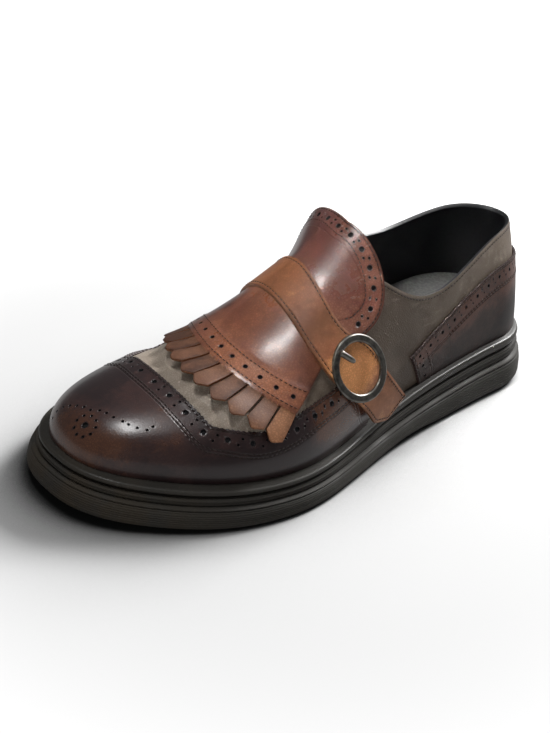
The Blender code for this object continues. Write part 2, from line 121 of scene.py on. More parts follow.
STRIP_POINT = 0.19
STRIP_SHOULDER = 0.15
STRIP_FLARE = 0.20
TONGUE_TIP = 32.5
TONGUE_LIFT = 3.0
STRAP_LIFT = 2.55
STRAP_THICK = 2.0
STRAP_EASE = 0.4
STRAP_SKIVE = 0.5
RING_ALONG = 0.572
RING_GIRTH = 54.5
RING_RADIUS = 14.2
RING_TUBE = 2.0
RING_DEPTH = 1.4
RING_LIFT = 2.8
RING_TILT = 0.08
RING_LEAN = 0.16
PRONG_RADIUS = 1.5
PRONG_LENGTH = 9.6
PRONG_OVERHANG = 1.0

# One row per section of the last, heel to toe
Section = namedtuple("Section", "along half centre ridge lean fullness feather edge stack")
SECTIONS = (
    Section(0.00, 31.0, -0.2, 72.0, 0.0, 2.05, 31.0, 4.8, 13.0),
    Section(0.12, 32.0, -0.6, 80.0, 0.0, 2.05, 30.3, 4.8, 13.0),
    Section(0.25, 33.2, 0.8, 94.0, -1.0, 2.05, 28.3, 4.7, 12.6),
    Section(0.40, 34.8, 3.6, 95.0, -2.0, 2.00, 24.0, 5.0, 11.6),
    Section(0.50, 39.0, 4.5, 81.5, -3.0, 1.87, 20.8, 5.3, 10.2),
    Section(0.60, 45.8, 4.3, 63.0, -3.5, 1.86, 18.3, 6.0, 8.6),
    Section(0.70, 50.4, 3.0, 42.4, -2.5, 2.00, 17.3, 6.6, 7.6),
    Section(0.78, 50.2, -0.7, 34.0, -0.5, 2.08, 17.4, 6.9, 7.3),
    Section(0.86, 46.8, -4.6, 27.8, 1.0, 2.12, 18.7, 7.1, 7.3),
    Section(0.93, 42.9, -7.5, 25.0, 2.0, 2.16, 20.6, 7.2, 7.3),
    Section(1.00, 39.7, -8.6, 24.4, 2.0, 2.20, 23.3, 7.3, 7.3),
)

# Outer and inner half of the tongue: length at its side, extra length, half width
TongueSide = namedtuple("TongueSide", "base flare half")
TONGUE_OUTER = TongueSide(24.0, 11.0, 46.0)
TONGUE_INNER = TongueSide(29.0, 3.5, 53.0)

# Height of the topline over the feather edge on each side
Collar = namedtuple("Collar", "along lateral medial")
COLLAR = (
    Collar(0.00, 61.0, 61.0),
    Collar(0.06, 61.2, 61.0),
    Collar(0.12, 60.3, 59.3),
    Collar(0.18, 57.6, 56.6),
    Collar(0.24, 53.7, 54.5),
    Collar(0.30, 49.7, 55.2),
    Collar(0.35, 48.8, 58.0),
    Collar(0.40, 52.3, 62.0),
    Collar(0.44, 58.6, 65.8),
    Collar(0.48, 66.5, 70.0),
    Collar(0.54, 74.7, 74.7),
)

# How far the back of the heel leans forward with height over the feather edge
Back = namedtuple("Back", "height forward")
BACK = (Back(0, 0.0), Back(20, 7.0), Back(40, 12.0), Back(58, 14.8), Back(110, 22.0))

# Upper edge of the wing cap along the sides, as a turn around the section
Wing = namedtuple("Wing", "along lateral medial")
WING = (
    Wing(0.52, 0.055, 0.055),
    Wing(0.55, 0.130, 0.125),
    Wing(0.61, 0.172, 0.165),
    Wing(0.67, 0.188, 0.182),
    Wing(0.74, 0.187, 0.185),
    Wing(0.79, 0.205, 0.205),
    Wing(0.836, 0.260, 0.260),
)

# Upper edge of the heel foxing over the feather edge
Foxing = namedtuple("Foxing", "along height")
FOXING = (
    Foxing(0.00, 44.0),
    Foxing(0.08, 45.0),
    Foxing(0.16, 43.0),
    Foxing(0.24, 38.0),
    Foxing(0.33, 29.5),
    Foxing(0.41, 21.0),
)

# Corners of the tail: share of the half width and girth of the middle line there
TAIL_LANES = (-1.0, 0.4, 1.0)
TAIL_GIRTHS = (102.0, 97.6, 86.4)

# Middle line of the strap from the inner side to the tail, with its half width
Strap = namedtuple("Strap", "girth along half lift")
STRAP = (
    Strap(-80.0, 0.510, 9.2, 0.0),
    Strap(-55.0, 0.546, 9.0, 0.0),
    Strap(-28.0, 0.577, 8.5, 0.0),
    Strap(0.0, 0.601, 8.1, 0.0),
    Strap(20.0, 0.609, 8.1, 0.0),
    Strap(33.0, 0.607, 8.4, 0.0),
    Strap(43.0, 0.596, 9.0, 0.0),
    Strap(56.0, 0.567, 10.0, 0.3),
    Strap(70.0, 0.537, 8.8, 1.4),
    Strap(84.0, 0.507, 8.3, 2.4),
    Strap(108.0, 0.453, 8.4, 3.5),
)

# Side of the outsole from the floor to its top edge
Side = namedtuple("Side", "share spread")
SIDE = (Side(0.00, 0.5), Side(0.12, 2.0), Side(0.45, 2.5), Side(0.80, 1.5), Side(1.00, 0.0))

# Lift of each fringe strip at its tip, inner side first
STRIP_RISE = (0.4, 0.7, 1.0, 1.8, 1.5, 2.3, 1.8, 2.6, 2.1, 1.0)

# How much each fringe strip is cut short
STRIP_CUT = (4.0, 3.2, 2.4, 1.6, 1.0, 0.6, 0.3, 0.0, 0.3, 0.0)

# Tone of each fringe strip
STRIP_TONE = (-0.9, -0.7, -0.3, 0.1, -0.1, 0.3, 0.0, 0.35, 0.2, 0.9)

# Soft creases on the upper: start and end as x and girth, depth, width
Crease = namedtuple("Crease", "x0 girth0 x1 girth1 depth width")
CREASES = (
    Crease(244.0, 10.0, 236.0, 42.0, 1.00, 1.5),
    Crease(238.5, 6.0, 229.0, 42.0, 0.85, 1.6),
    Crease(240.0, -22.0, 243.0, 12.0, 0.55, 1.6),
    Crease(232.0, -24.0, 234.0, 14.0, 0.60, 2.0),
    Crease(221.0, 26.0, 207.0, 56.0, 0.40, 2.6),
    Crease(211.0, 34.0, 198.0, 58.0, 0.32, 2.2),
    Crease(222.0, -26.0, 208.0, -56.0, 0.40, 2.6),
    Crease(141.0, 70.0, 122.0, 92.0, 0.55, 4.2),
    Crease(118.0, 62.0, 104.0, 88.0, 0.45, 4.0),
    Crease(138.0, -70.0, 120.0, -94.0, 0.55, 4.4),
    Crease(70.0, 50.0, 84.0, 78.0, 0.40, 4.6),
    Crease(72.0, -50.0, 86.0, -78.0, 0.40, 4.6),
)

# Work along the edges, in millimetres from the cut edge
EDGE_ROW = 1.5
WING_HOLES = 5.2
WING_PAIR = 1.7
WING_SEAM = 10.2
SEAM_ROWS = 1.5
FOXING_HOLES = 5.4
FOXING_HOLE_SHARE = 0.72
FOXING_SEAM = 10.6
TONGUE_HOLES = 6.4
TONGUE_SEAM = 11.0
STRAP_ROW = 1.7
COLLAR_ROW = 2.2
BAND_FRONT_ROW = 2.2
BAND_HOLES = 6.3
BAND_BACK_ROW = 10.2

# Smallest distances and sizes that count, and how finely lines and tables are divided
MERGE = 0.00002
TINY = 1e-9
LEAST_STEP = 1e-12
LEAST_HEIGHT = 0.001
PLAN_SPOTS = 401
TABLE_ROWS = 501
TABLE_TURNS = 241

# Faces of a piece of leather, which are its material slots too; the probe lies over the outer face
OUTER_FACE = 0
INNER_FACE = 1
CUT_FACE = 2
FRINGE_FACE = 3
PROBE_FACE = -1
PROBE_LIFT = 1.0

# Angles past which an edge of a mesh is sharp
LEATHER_SHARP = 38.0
RUBBER_SHARP = 50.0
ROUND_SHARP = 60.0
THREAD_SHARP = 80.0


def length_property(name, description, default):
    """Length that the panel shows with its unit."""
    return FloatProperty(
        name=name, description=description, default=default, subtype="DISTANCE", unit="LENGTH")


class LoaferSizes(PropertyGroup):
    """Sizes of the handwork"""

    stitch_length: length_property("Stitch Length", "Visible length of one stitch", 0.0017)
    stitch_pitch: length_property("Stitch Pitch", "Distance from one stitch to the next", 0.0024)
    thread_radius: length_property("Thread Radius", "Radius of the sewing thread", 0.00023)
    big_hole: length_property("Big Hole", "Radius of the large punched holes", 0.00125)
    small_hole: length_property("Small Hole", "Radius of the small punched holes", 0.00058)
    notch_pitch: length_property("Notch Pitch", "Distance between the teeth of a gimped edge", 0.0025)
    notch_depth: length_property("Notch Depth", "Depth of the teeth of a gimped edge", 0.00055)
    rib_depth: length_property("Rib Depth", "Depth of the ribs on the side of the sole", 0.00028)


def colour_property(name, default):
    """Colour that the panel shows as a swatch."""
    return FloatVectorProperty(
        name=name, description="Main colour of the " + name.lower(),
        default=default, size=3, min=0.0, max=1.0, subtype="COLOR")


class LoaferColours(PropertyGroup):
    """Main colours of the pieces"""

    quarter: colour_property("Quarters", (0.150, 0.118, 0.090))
    wing: colour_property("Wing cap", (0.042, 0.0205, 0.0185))
    foxing: colour_property("Heel foxing", (0.031, 0.0128, 0.0086))
    kiltie: colour_property("Kiltie", (0.180, 0.062, 0.034))
    fringe: colour_property("Fringe", (0.150, 0.066, 0.035))
    tongue: colour_property("Tongue", (0.128, 0.042, 0.030))
    strap: colour_property("Strap", (0.245, 0.098, 0.044))
    rubber: colour_property("Sole", (0.0340, 0.0315, 0.0275))
    lining: colour_property("Lining", (0.009, 0.0092, 0.0105))
    insole: colour_property("Insole", (0.140, 0.138, 0.136))
    thread: colour_property("Thread", (0.026, 0.016, 0.012))
    metal: colour_property("Buckle", (0.23, 0.218, 0.196))
    floor: colour_property("Floor", (0.58, 0.58, 0.58))


class StudioSettings(PropertyGroup):
    """Camera and light"""

    lens: FloatProperty(
        name="Lens", description="Focal length of the camera on a 36 mm frame",
        default=58.0, unit="CAMERA")
    key_power: FloatProperty(
        name="Key Power", description="Power of the soft light above the shoe",
        default=14.0, subtype="POWER", unit="POWER")
    fill_power: FloatProperty(
        name="Fill Power", description="Power of the soft light at the toe",
        default=4.5, subtype="POWER", unit="POWER")
    back_power: FloatProperty(
        name="Back Power", description="Power of the soft light behind the shoe",
        default=64.0, subtype="POWER", unit="POWER")
    front_power: FloatProperty(
        name="Front Power", description="Power of the narrow light in front of the toe",
        default=0.050, precision=4, subtype="POWER", unit="POWER")
    sky: FloatProperty(
        name="Surroundings", description="Brightness of the white surroundings",
        default=0.09, min=0.0)


class Spline:
    """Smooth curve through one column of a table."""

    def __init__(self, rows, column):
        self.x = np.array([row[0] for row in rows], dtype=float)
        self.y = np.array([getattr(row, column) for row in rows], dtype=float)
        count = len(self.x)
        step = np.diff(self.x)
        system = np.zeros((count, count))
        right = np.zeros(count)
        system[0, 0] = 1.0
        system[-1, -1] = 1.0
        slope = np.diff(self.y) / step
        for i in range(1, count - 1):
            system[i, i - 1] = step[i - 1]
            system[i, i] = 2.0 * (step[i - 1] + step[i])
            system[i, i + 1] = step[i]
            right[i] = 6.0 * (slope[i] - slope[i - 1])
        self.bend = np.linalg.solve(system, right)
        self.step = step

    def __call__(self, x):
        x = np.clip(np.asarray(x, dtype=float), self.x[0], self.x[-1])
        i = np.clip(np.searchsorted(self.x, x) - 1, 0, len(self.step) - 1)
        h = self.step[i]
        after = x - self.x[i]
        before = self.x[i + 1] - x
        cubic = (self.bend[i] * before ** 3 + self.bend[i + 1] * after ** 3) / (6.0 * h)
        start = (self.y[i] / h - self.bend[i] * h / 6.0) * before
        end = (self.y[i + 1] / h - self.bend[i + 1] * h / 6.0) * after
        return cubic + start + end


half_width = Spline(SECTIONS, "half")
centre_line = Spline(SECTIONS, "centre")
ridge_height = Spline(SECTIONS, "ridge")
ridge_lean = Spline(SECTIONS, "lean")
fullness = Spline(SECTIONS, "fullness")
feather = Spline(SECTIONS, "feather")
sole_edge = Spline(SECTIONS, "edge")
sole_stack = Spline(SECTIONS, "stack")
back_lean = Spline(BACK, "forward")
collar_lateral = Spline(COLLAR, "lateral")
collar_medial = Spline(COLLAR, "medial")
wing_lateral = Spline(WING, "lateral")
wing_medial = Spline(WING, "medial")
foxing_height = Spline(FOXING, "height")
strap_along = Spline(STRAP, "along")
strap_half = Spline(STRAP, "half")
strap_lift = Spline(STRAP, "lift")
side_spread = Spline(SIDE, "spread")


def smooth(value):
    value = np.clip(value, 0.0, 1.0)
    return value * value * (3.0 - 2.0 * value)


def ramp(value, start, run):
    """Smooth step from 0 at the start to 1 a run further on; a negative run goes back."""
    return smooth((value - start) / run)


def bell(value, middle, width):
    return np.exp(-((value - middle) / width) ** 2)


def length_along(line):
    """Distance along a line from its start to each of its points."""
    return np.concatenate(([0.0], np.cumsum(np.linalg.norm(np.diff(line, axis=0), axis=1))))


def unit(ways):
    """Directions of length 1."""
    return ways / np.maximum(np.linalg.norm(ways, axis=-1, keepdims=True), TINY)


def on_side(turn, medial):
    """Turn on the outer half, or its mirror image on the inner half."""
    return 1.0 - turn if medial else turn


def end_round(run, power):
    """Rounding of an end: 0 at the tip and 1 where the round is over."""
    run = np.clip(run, 0.0, 1.0)
    return (1.0 - (1.0 - run) ** power) ** (1.0 / power)


def plan_round(along):
    heel = end_round(along / HEEL_ROUND, HEEL_POWER)
    return heel * end_round((1.0 - along) / TOE_ROUND, TOE_POWER)


def dome(along):
    return end_round((1.0 - along) / TOE_DOME, DOME_POWER)


def heel_lean(along, height):
    """How far the back of the heel leans forward at a height over the feather edge."""
    return back_lean(height) * np.clip(1.0 - along / HEEL_LEAN_RUN, 0.0, 1.0) ** 2


def last_point(along, turn, grow=0.0):
    """Point of the last: turn 0 is the outer feather edge and 1 the inner one."""
    along = np.asarray(along, dtype=float)
    angle = math.pi * np.asarray(turn, dtype=float)
    power = 2.0 / fullness(along)
    side = np.sign(np.cos(angle))
    rise = np.abs(np.sin(angle))
    wide = (half_width(along) + grow) * plan_round(along)
    high = (ridge_height(along) + grow) * dome(along)
    height = high * rise ** power
    tuck = FEATHER_TUCK * plan_round(along) * (1.0 - rise) ** 3
    y = centre_line(along) + ridge_lean(along) * rise ** 2 * dome(along)
    y = y + side * (wide * np.abs(np.cos(angle)) ** power - tuck)
    x = along * (LAST_LENGTH + 2.0 * grow) - grow
    x = x + heel_lean(along, height)
    return np.stack(np.broadcast_arrays(x, y, feather(along) + height), axis=-1)


def turn_at_height(along, height):
    """Turn on the outer half at which the section is this high."""
    high = np.maximum(ridge_height(along) * dome(along), LEAST_HEIGHT)
    share = np.clip(height / high, 0.0, 1.0)
    return np.arcsin(np.minimum(share ** (fullness(along) / 2.0), 1.0)) / math.pi


def girth_table():
    """Girth over the last from the ridge, for a table of stations and turns."""
    alongs = np.linspace(0.0, 1.0, TABLE_ROWS)
    turns = np.linspace(0.0, 1.0, TABLE_TURNS)
    lines = last_point(alongs[:, None], turns[None, :])
    run = np.linalg.norm(np.diff(lines, axis=1), axis=2)
    length = np.concatenate((np.zeros((TABLE_ROWS, 1)), np.cumsum(run, axis=1)), axis=1)
    middle = length[:, TABLE_TURNS // 2]
    return turns, middle[:, None] - length


TURNS, GIRTHS = girth_table()


def turn_at_girth(along, girth):
    """Turn at a distance over the section from the ridge, outer side positive."""
    along, girth = np.broadcast_arrays(along, girth)
    place = np.clip(along, 0.0, 1.0) * (TABLE_ROWS - 1)
    low = np.minimum(place.astype(int), TABLE_ROWS - 2)
    share = place - low
    turn = np.empty(place.shape)
    for i in np.ndindex(place.shape):
        first = np.interp(-girth[i], -GIRTHS[low[i]], TURNS)
        after = np.interp(-girth[i], -GIRTHS[low[i] + 1], TURNS)
        turn[i] = first + (after - first) * share[i]
    return turn


def girth_at(along, turn):
    """Girth of a spot, read between the stations of the table."""
    row = np.clip(along, 0.0, 1.0) * (TABLE_ROWS - 1)
    column = np.clip(turn, 0.0, 1.0) * (TABLE_TURNS - 1)
    i = np.minimum(row.astype(int), TABLE_ROWS - 2)
    j = np.minimum(column.astype(int), TABLE_TURNS - 2)
    u = row - i
    v = column - j
    low = GIRTHS[i, j] * (1.0 - v) + GIRTHS[i, j + 1] * v
    high = GIRTHS[i + 1, j] * (1.0 - v) + GIRTHS[i + 1, j + 1] * v
    return low * (1.0 - u) + high * u


def flap_point(x, girth, grow):
    along = np.clip(np.asarray(x, dtype=float) / LAST_LENGTH, 0.0, 1.0)
    return last_point(along, turn_at_girth(along, girth), grow)


def stations(share):
    """Positions from heel to toe, closer together at both ends."""
    return 0.5 - 0.5 * np.cos(math.pi * share)


def floor_line(along):
    """Height of the underside over the floor: arch, toe spring, heel bevel."""
    arch = np.clip((along - ARCH_START) / (ARCH_END - ARCH_START), 0.0, 1.0)
    spring = np.clip((along - SPRING_START) / (1.0 - SPRING_START), 0.0, 1.0)
    bevel = np.clip(1.0 - along / BEVEL_RUN, 0.0, 1.0)
    return (ARCH_RISE * np.sin(math.pi * arch) ** 2 + TOE_SPRING * spring ** SPRING_POWER
            + HEEL_BEVEL * bevel ** BEVEL_POWER)


def plan_point(along, side, grow):
    """Plan of the sole: side 1 is the outer edge and -1 the inner one."""
    x = along * LAST_LENGTH + grow * (2.0 * along - 1.0)
    return x, centre_line(along) + side * (half_width(along) + grow) * plan_round(along)


def plan_middle():
    """Middle of the plan of the sole, where the part has its origin."""
    along = stations(np.linspace(0.0, 1.0, PLAN_SPOTS))
    spread = sole_edge(along) + max(row.spread for row in SIDE)
    spots = [plan_point(along, side, spread) for side in (1.0, -1.0)]
    x = np.concatenate([spot[0] for spot in spots])
    y = np.concatenate([spot[1] for spot in spots])
    return 0.5 * (x.min() + x.max()), 0.5 * (y.min() + y.max())


MIDDLE = np.array((*plan_middle(), 0.0))


def world(points):
    return (np.asarray(points) - MIDDLE) * MM


# Form of a crease: bow and fading over its length, and the ridge beside its trough
CREASE_BOW = 0.12
CREASE_FADE = 0.35
CREASE_RIDGE = 0.45
RIDGE_AWAY = 2.1
RIDGE_WIDTH = 1.4


def creased(along, turn):
    """Soft troughs and their ridges on the upper, in millimetres outward."""
    x = np.asarray(along) * LAST_LENGTH
    girth = girth_at(along, turn)
    relief = np.zeros(np.shape(x))
    for row in CREASES:
        start = np.array((row.x0, row.girth0))
        way = np.array((row.x1, row.girth1)) - start
        length = np.linalg.norm(way)
        way = way / length
        run = (x - start[0]) * way[0] + (girth - start[1]) * way[1]
        away = (x - start[0]) * way[1] - (girth - start[1]) * way[0]
        away = away + CREASE_BOW * length * np.sin(math.pi * np.clip(run / length, 0.0, 1.0))
        fade = smooth(run / (CREASE_FADE * length)) * smooth((length - run) / (CREASE_FADE * length))
        trough = bell(away, 0.0, row.width)
        ridge = bell(away, RIDGE_AWAY * row.width, RIDGE_WIDTH * row.width)
        relief += fade * row.depth * (CREASE_RIDGE * ridge - trough)
    return relief


# Mesh making

PATTERN = ("one", "two", "three", "tone")


def lay_sheet(bm, layers, rows, columns, spots):
    """Flat grid whose points take their pattern values from spots(run, across)."""
    made = bmesh.ops.create_grid(bm, x_segments=rows, y_segments=columns, size=0.5)["verts"]
    flat = np.array([vert.co[:2] for vert in made]) + 0.5
    flat = np.round(flat * (rows, columns)) / (rows, columns)
    for layer, values in zip(layers, spots(flat[:, 0], flat[:, 1])):
        for vert, value in zip(made, np.broadcast_to(values, len(made))):
            vert[layer] = value


def put_in_place(verts, layers, place, face):
    values = np.array([[vert[layer] for layer in layers] for vert in verts], dtype=float)
    for vert, point in zip(verts, world(place(*values.T[:3], face))):
        vert.co = point


def cut_leather(sheets, place, rim, both_rims=False):
    """Closed piece of leather from sheets laid on the last.

    place turns three pattern values and the name of a face into points, and each
    face gets the material slot of that name.
    """
    bm = bmesh.new()
    layers = [bm.verts.layers.float.new(label) for label in PATTERN]
    for rows, columns, spots in sheets:
        lay_sheet(bm, layers, rows, columns, spots)
    put_in_place(bm.verts[:], layers, place, OUTER_FACE)
    bmesh.ops.remove_doubles(bm, verts=bm.verts[:], dist=MERGE)
    bmesh.ops.dissolve_degenerate(bm, dist=0.5 * MERGE, edges=bm.edges[:])
    outer = bm.faces[:]
    made = bmesh.ops.extrude_face_region(bm, geom=outer, use_keep_orig=True)["geom"]
    inner = [item for item in made if isinstance(item, bmesh.types.BMFace)]
    back = [item for item in made if isinstance(item, bmesh.types.BMVert)]
    put_in_place(back, layers, place, INNER_FACE)
    bmesh.ops.recalc_face_normals(bm, faces=bm.faces[:])
    for face in bm.faces:
        face.material_index = CUT_FACE
        face.smooth = True
    for face in outer:
        face.material_index = OUTER_FACE
    for face in inner:
        face.material_index = INNER_FACE
    rims = [{OUTER_FACE, CUT_FACE}]
    if both_rims:
        rims.append({INNER_FACE, CUT_FACE})
    edges = [edge for edge in bm.edges
             if {face.material_index for face in edge.link_faces} in rims]
    bmesh.ops.bevel(bm, geom=edges, offset=rim * MM, offset_type="OFFSET", segments=2,
                    profile=0.5, affect="EDGES", material=-1, clamp_overlap=True)
    return bm


def finish_piece(bm, name, finishes, sharp=LEATHER_SHARP):
    """Turn a bmesh into a named piece that rides on the shoe."""
    mesh = bpy.data.meshes.new(name)
    bm.to_mesh(mesh)
    bm.free()
    return ride(name, mesh, finishes, sharp)


def ride(name, mesh, finishes, sharp):
    """Object with its finishes that rides on the shoe."""
    for label in finishes:
        mesh.materials.append(finish(label))
    mesh.shade_smooth()
    mesh.set_sharp_from_angle(angle=math.radians(sharp))
    piece = bpy.data.objects.new(name, mesh)
    bpy.context.collection.objects.link(piece)
    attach(piece, "root")
    return piece


EDGE_LIMIT = 60.0
BATCH = 2000


def edge_distance(piece, lines):
    """Store each point's distance from the worked edge, in millimetres."""
    mesh = piece.data
    points = np.empty(len(mesh.vertices) * 3)
    mesh.vertices.foreach_get("co", points)
    points = points.reshape(-1, 3)
    nearest = np.full(len(points), 1.0)
    for line in lines:
        start = world(line[:-1])
        way = world(line[1:]) - start
        size = np.maximum((way ** 2).sum(axis=1), LEAST_STEP)
        for low in range(0, len(points), BATCH):
            some = points[low:low + BATCH, None, :] - start
            share = np.clip((some * way).sum(axis=2) / size, 0.0, 1.0)
            away = np.linalg.norm(some - share[..., None] * way, axis=2).min(axis=1)
            nearest[low:low + BATCH] = np.minimum(nearest[low:low + BATCH], away)
    layer = mesh.attributes.new("edge", "FLOAT", "POINT")
    layer.data.foreach_set("value", np.minimum(nearest / MM, EDGE_LIMIT).astype(np.float32))


def surface(piece):
    """Tree of the piece, to set stitches and holes on its outer face."""
    mesh = piece.data
    corners = [vert.co.copy() for vert in mesh.vertices]
    faces = [tuple(poly.vertices) for poly in mesh.polygons if poly.material_index == OUTER_FACE]
    return BVHTree.FromPolygons(corners, faces)


def outward(place, spots):
    """Points of a pattern line on the outer face, with the directions out of it."""
    low = place(*spots, OUTER_FACE)
    return low, unit(place(*spots, PROBE_FACE) - low)


def beside(line, out, distance):
    """Line on the left of a line on the last, looking from outside along it."""
    way = unit(np.gradient(line, axis=0))
    return line + distance * unit(np.cross(out, way))


PACE_PROBE = 0.4


def paced(line, pitch, start):
    """Points at an even pace along a line, with their directions."""
    run = length_along(line)
    count = int((run[-1] - start) / pitch)
    at = start + pitch * np.arange(count + 1)

    def spots(where):
        return np.stack([np.interp(where, run, line[:, i]) for i in range(3)], axis=1)
    return spots(at), unit(spots(at + PACE_PROBE) - spots(at - PACE_PROBE))


def settle(tree, points):
    """Nearest spots on a piece, in metres, with the directions out of it."""
    spots = []
    outs = []
    for point in world(points):
        spot, normal = tree.find_nearest(Vector(point))[:2]
        spots.append(spot)
        outs.append(normal)
    return np.array(spots), np.array(outs)


def repeated(name, shape, faces, frames):
    """Join one small shape, repeated at many frames of place and axes, into a mesh."""
    shape = np.asarray(shape)
    corners = []
    joined = []
    for place, across, along, out, size in frames:
        base = len(corners) * len(shape)
        axes = np.stack((across, along, out))
        corners.append(place + (shape * size) @ axes)
        joined += [tuple(base + i for i in face) for face in faces]
    mesh = bpy.data.meshes.new(name)
    mesh.from_pydata(np.concatenate(corners).tolist(), [], joined)
    mesh.update()
    return mesh


def axes_on(way, out):
    """Across, along and out directions of a small thing on a surface."""
    across = unit(np.cross(way, out))
    return across, np.cross(out, across)


def lathe_rings(rings, sides):
    """Corners and faces of a closed turned shape along its second axis."""
    corners = []
    faces = []
    for radius, height in rings:
        for j in range(sides):
            angle = 2.0 * math.pi * j / sides
            corners.append((radius * math.cos(angle), height, radius * math.sin(angle)))
    for i in range(len(rings) - 1):
        for j in range(sides):
            k = (j + 1) % sides
            faces.append((i * sides + j, (i + 1) * sides + j, (i + 1) * sides + k, i * sides + k))
    faces.append(tuple(range(sides)))
    faces.append(tuple(reversed(range((len(rings) - 1) * sides, len(rings) * sides))))
    return corners, faces


# One stitch as radius and place along it, and how far its middle stands over the leather
STITCH = lathe_rings(((0.35, -0.5), (1.0, -0.28), (1.0, 0.28), (0.35, 0.5)), 6)
STITCH_STAND = 0.25
FIRST_STITCH = 0.8


def sew(name, piece, lines):
    """Rows of stitches on a piece, joined into one piece of thread."""
    sizes = bpy.context.scene.loafer_sizes
    tree = surface(piece)
    frames = []
    radius = sizes.thread_radius
    size = np.array((radius, sizes.stitch_length, radius))
    for line in lines:
        points, way = paced(line, sizes.stitch_pitch / MM, FIRST_STITCH)
        spots, out = settle(tree, points)
        across, along = axes_on(way, out)
        spots = spots + out * radius * STITCH_STAND
        frames += [(*axes, size) for axes in zip(spots, across, along, out)]
    mesh = repeated(name, *STITCH, frames)
    stitches = ride(name, mesh, ["thread"], THREAD_SHARP)


# Punch as radius and height, with the bore below and the mouth above; its sides for each hole size
PUNCH_RINGS = ((0.86, -1.0), (1.0, -0.12), (1.3, 0.12), (1.42, 1.0))
BORE_SLOT = 0
MOUTH_SLOT = 1
PUNCHES = ((14, 0.9, 9.0), (8, 0.0, 0.9))
PUNCH_AXIS = (0.31, 0.11, 0.94)


def hole_shape(sides):
    """Punch for one hole: a straight bore with a flared mouth."""
    corners = []
    for radius, height in PUNCH_RINGS:
        for j in range(sides):
            angle = 2.0 * math.pi * j / sides
            corners.append((radius * math.cos(angle), radius * math.sin(angle), height))
    faces = [tuple(reversed(range(sides)))]
    slots = [BORE_SLOT]
    last = len(PUNCH_RINGS) - 1
    for i in range(last):
        for j in range(sides):
            k = (j + 1) % sides
            faces.append((i * sides + j, i * sides + k, (i + 1) * sides + k, (i + 1) * sides + j))
            slots.append(MOUTH_SLOT if i else BORE_SLOT)
    faces.append(tuple(range(last * sides, (last + 1) * sides)))
    slots.append(MOUTH_SLOT)
    return corners, faces, slots


def punch(piece, spots, depth, mouth):
    """Punch holes of a depth into a piece: spots are points and a radius in millimetres."""
    tree = surface(piece)
    meshes = []
    for sides, least, most in PUNCHES:
        some = [(point, radius) for point, radius in spots if least <= radius < most]
        if not some:
            continue
        places, out = settle(tree, np.array([point for point, radius in some]))
        across, along = axes_on(unit(np.cross(out, PUNCH_AXIS)), out)
        corners, faces, slots = hole_shape(sides)
        sizes = [np.array((radius, radius, depth)) * MM for point, radius in some]
        frames = list(zip(places, across, along, out, sizes))
        mesh = repeated(piece.name + ".punch", corners, faces, frames)
        mesh.polygons.foreach_set("material_index", slots * len(frames))
        # The bore's near-black finish is painted shade in the holes
        mesh.materials.append(finish("bore"))
        mesh.materials.append(finish(mouth))
        meshes.append(mesh)
    for mesh in meshes:
        cutter = bpy.data.objects.new(mesh.name, mesh)
        bpy.context.collection.objects.link(cutter)
        cut = piece.modifiers.new("punch", "BOOLEAN")
        cut.object = cutter
        cut.operation = "DIFFERENCE"
        cut.solver = "MANIFOLD"
        cut.material_mode = "TRANSFER"
        before = len(piece.data.polygons)
        ready = piece.evaluated_get(bpy.context.evaluated_depsgraph_get())
        done = bpy.data.meshes.new_from_object(ready)
        piece.modifiers.clear()
        old = piece.data
        piece.data = done
        done.name = piece.name
        bpy.data.meshes.remove(old)
        bpy.data.objects.remove(cutter, do_unlink=True)
        bpy.data.meshes.remove(mesh)
        if len(done.polygons) <= before:
            raise RuntimeError("no hole was punched in " + piece.name)
    piece.data.shade_smooth()
    piece.data.set_sharp_from_angle(angle=math.radians(LEATHER_SHARP))


# Materials


def node(tree, kind, inputs=None, **settings):
    """New node with its settings, and with values or links on its inputs."""
    made = tree.nodes.new(kind)
    for key, value in settings.items():
        setattr(made, key, value)
    for socket, source in (inputs or {}).items():
        if isinstance(source, bpy.types.NodeSocket):
            tree.links.new(source, made.inputs[socket])
        else:
            made.inputs[socket].default_value = source
    return made


def noise(tree, spot, scale, detail, roughness=0.5):
    inputs = {"Vector": spot, "Scale": scale, "Detail": detail, "Roughness": roughness}
    return node(tree, "ShaderNodeTexNoise", inputs).outputs


def group_of(name, inputs, outputs):
    """Empty shader node group with named sockets."""
    tree = bpy.data.node_groups.new(name, "ShaderNodeTree")
    for label, kind, default in inputs:
        socket = tree.interface.new_socket(label, in_out="INPUT", socket_type=kind)
        if default is not None:
            socket.default_value = default
    for label, kind in outputs:
        tree.interface.new_socket(label, in_out="OUTPUT", socket_type=kind)
    return tree, tree.nodes.new("NodeGroupInput").outputs, tree.nodes.new("NodeGroupOutput").inputs


def maths(tree, operation, one, two=0.0):
    return node(tree, "ShaderNodeMath", {0: one, 1: two}, operation=operation).outputs[0]


def ranged(tree, value, low, high, start=0.0, end=1.0):
    made = node(tree, "ShaderNodeMapRange", {0: value, 1: low, 2: high, 3: start, 4: end},
                interpolation_type="SMOOTHSTEP")
    return made.outputs[0]


# Sockets of a Mix node that is set to colours
MIX_SHARE = 0
MIX_ONE = 6
MIX_TWO = 7
MIX_COLOUR = 2


def mixed(tree, share, one, two):
    made = node(tree, "ShaderNodeMix", {MIX_SHARE: share, MIX_ONE: one, MIX_TWO: two}, data_type="RGBA")
    return made.outputs[MIX_COLOUR]


def roughened(tree, shader, height, strength, distance):
    """Relief of a height on the shader's surface."""
    bump = node(tree, "ShaderNodeBump", {"Height": height, "Strength": strength, "Distance": distance})
    tree.links.new(bump.outputs[0], shader.inputs["Normal"])


FLOAT = "NodeSocketFloat"
COLOUR = "NodeSocketColor"
VECTOR = "NodeSocketVector"

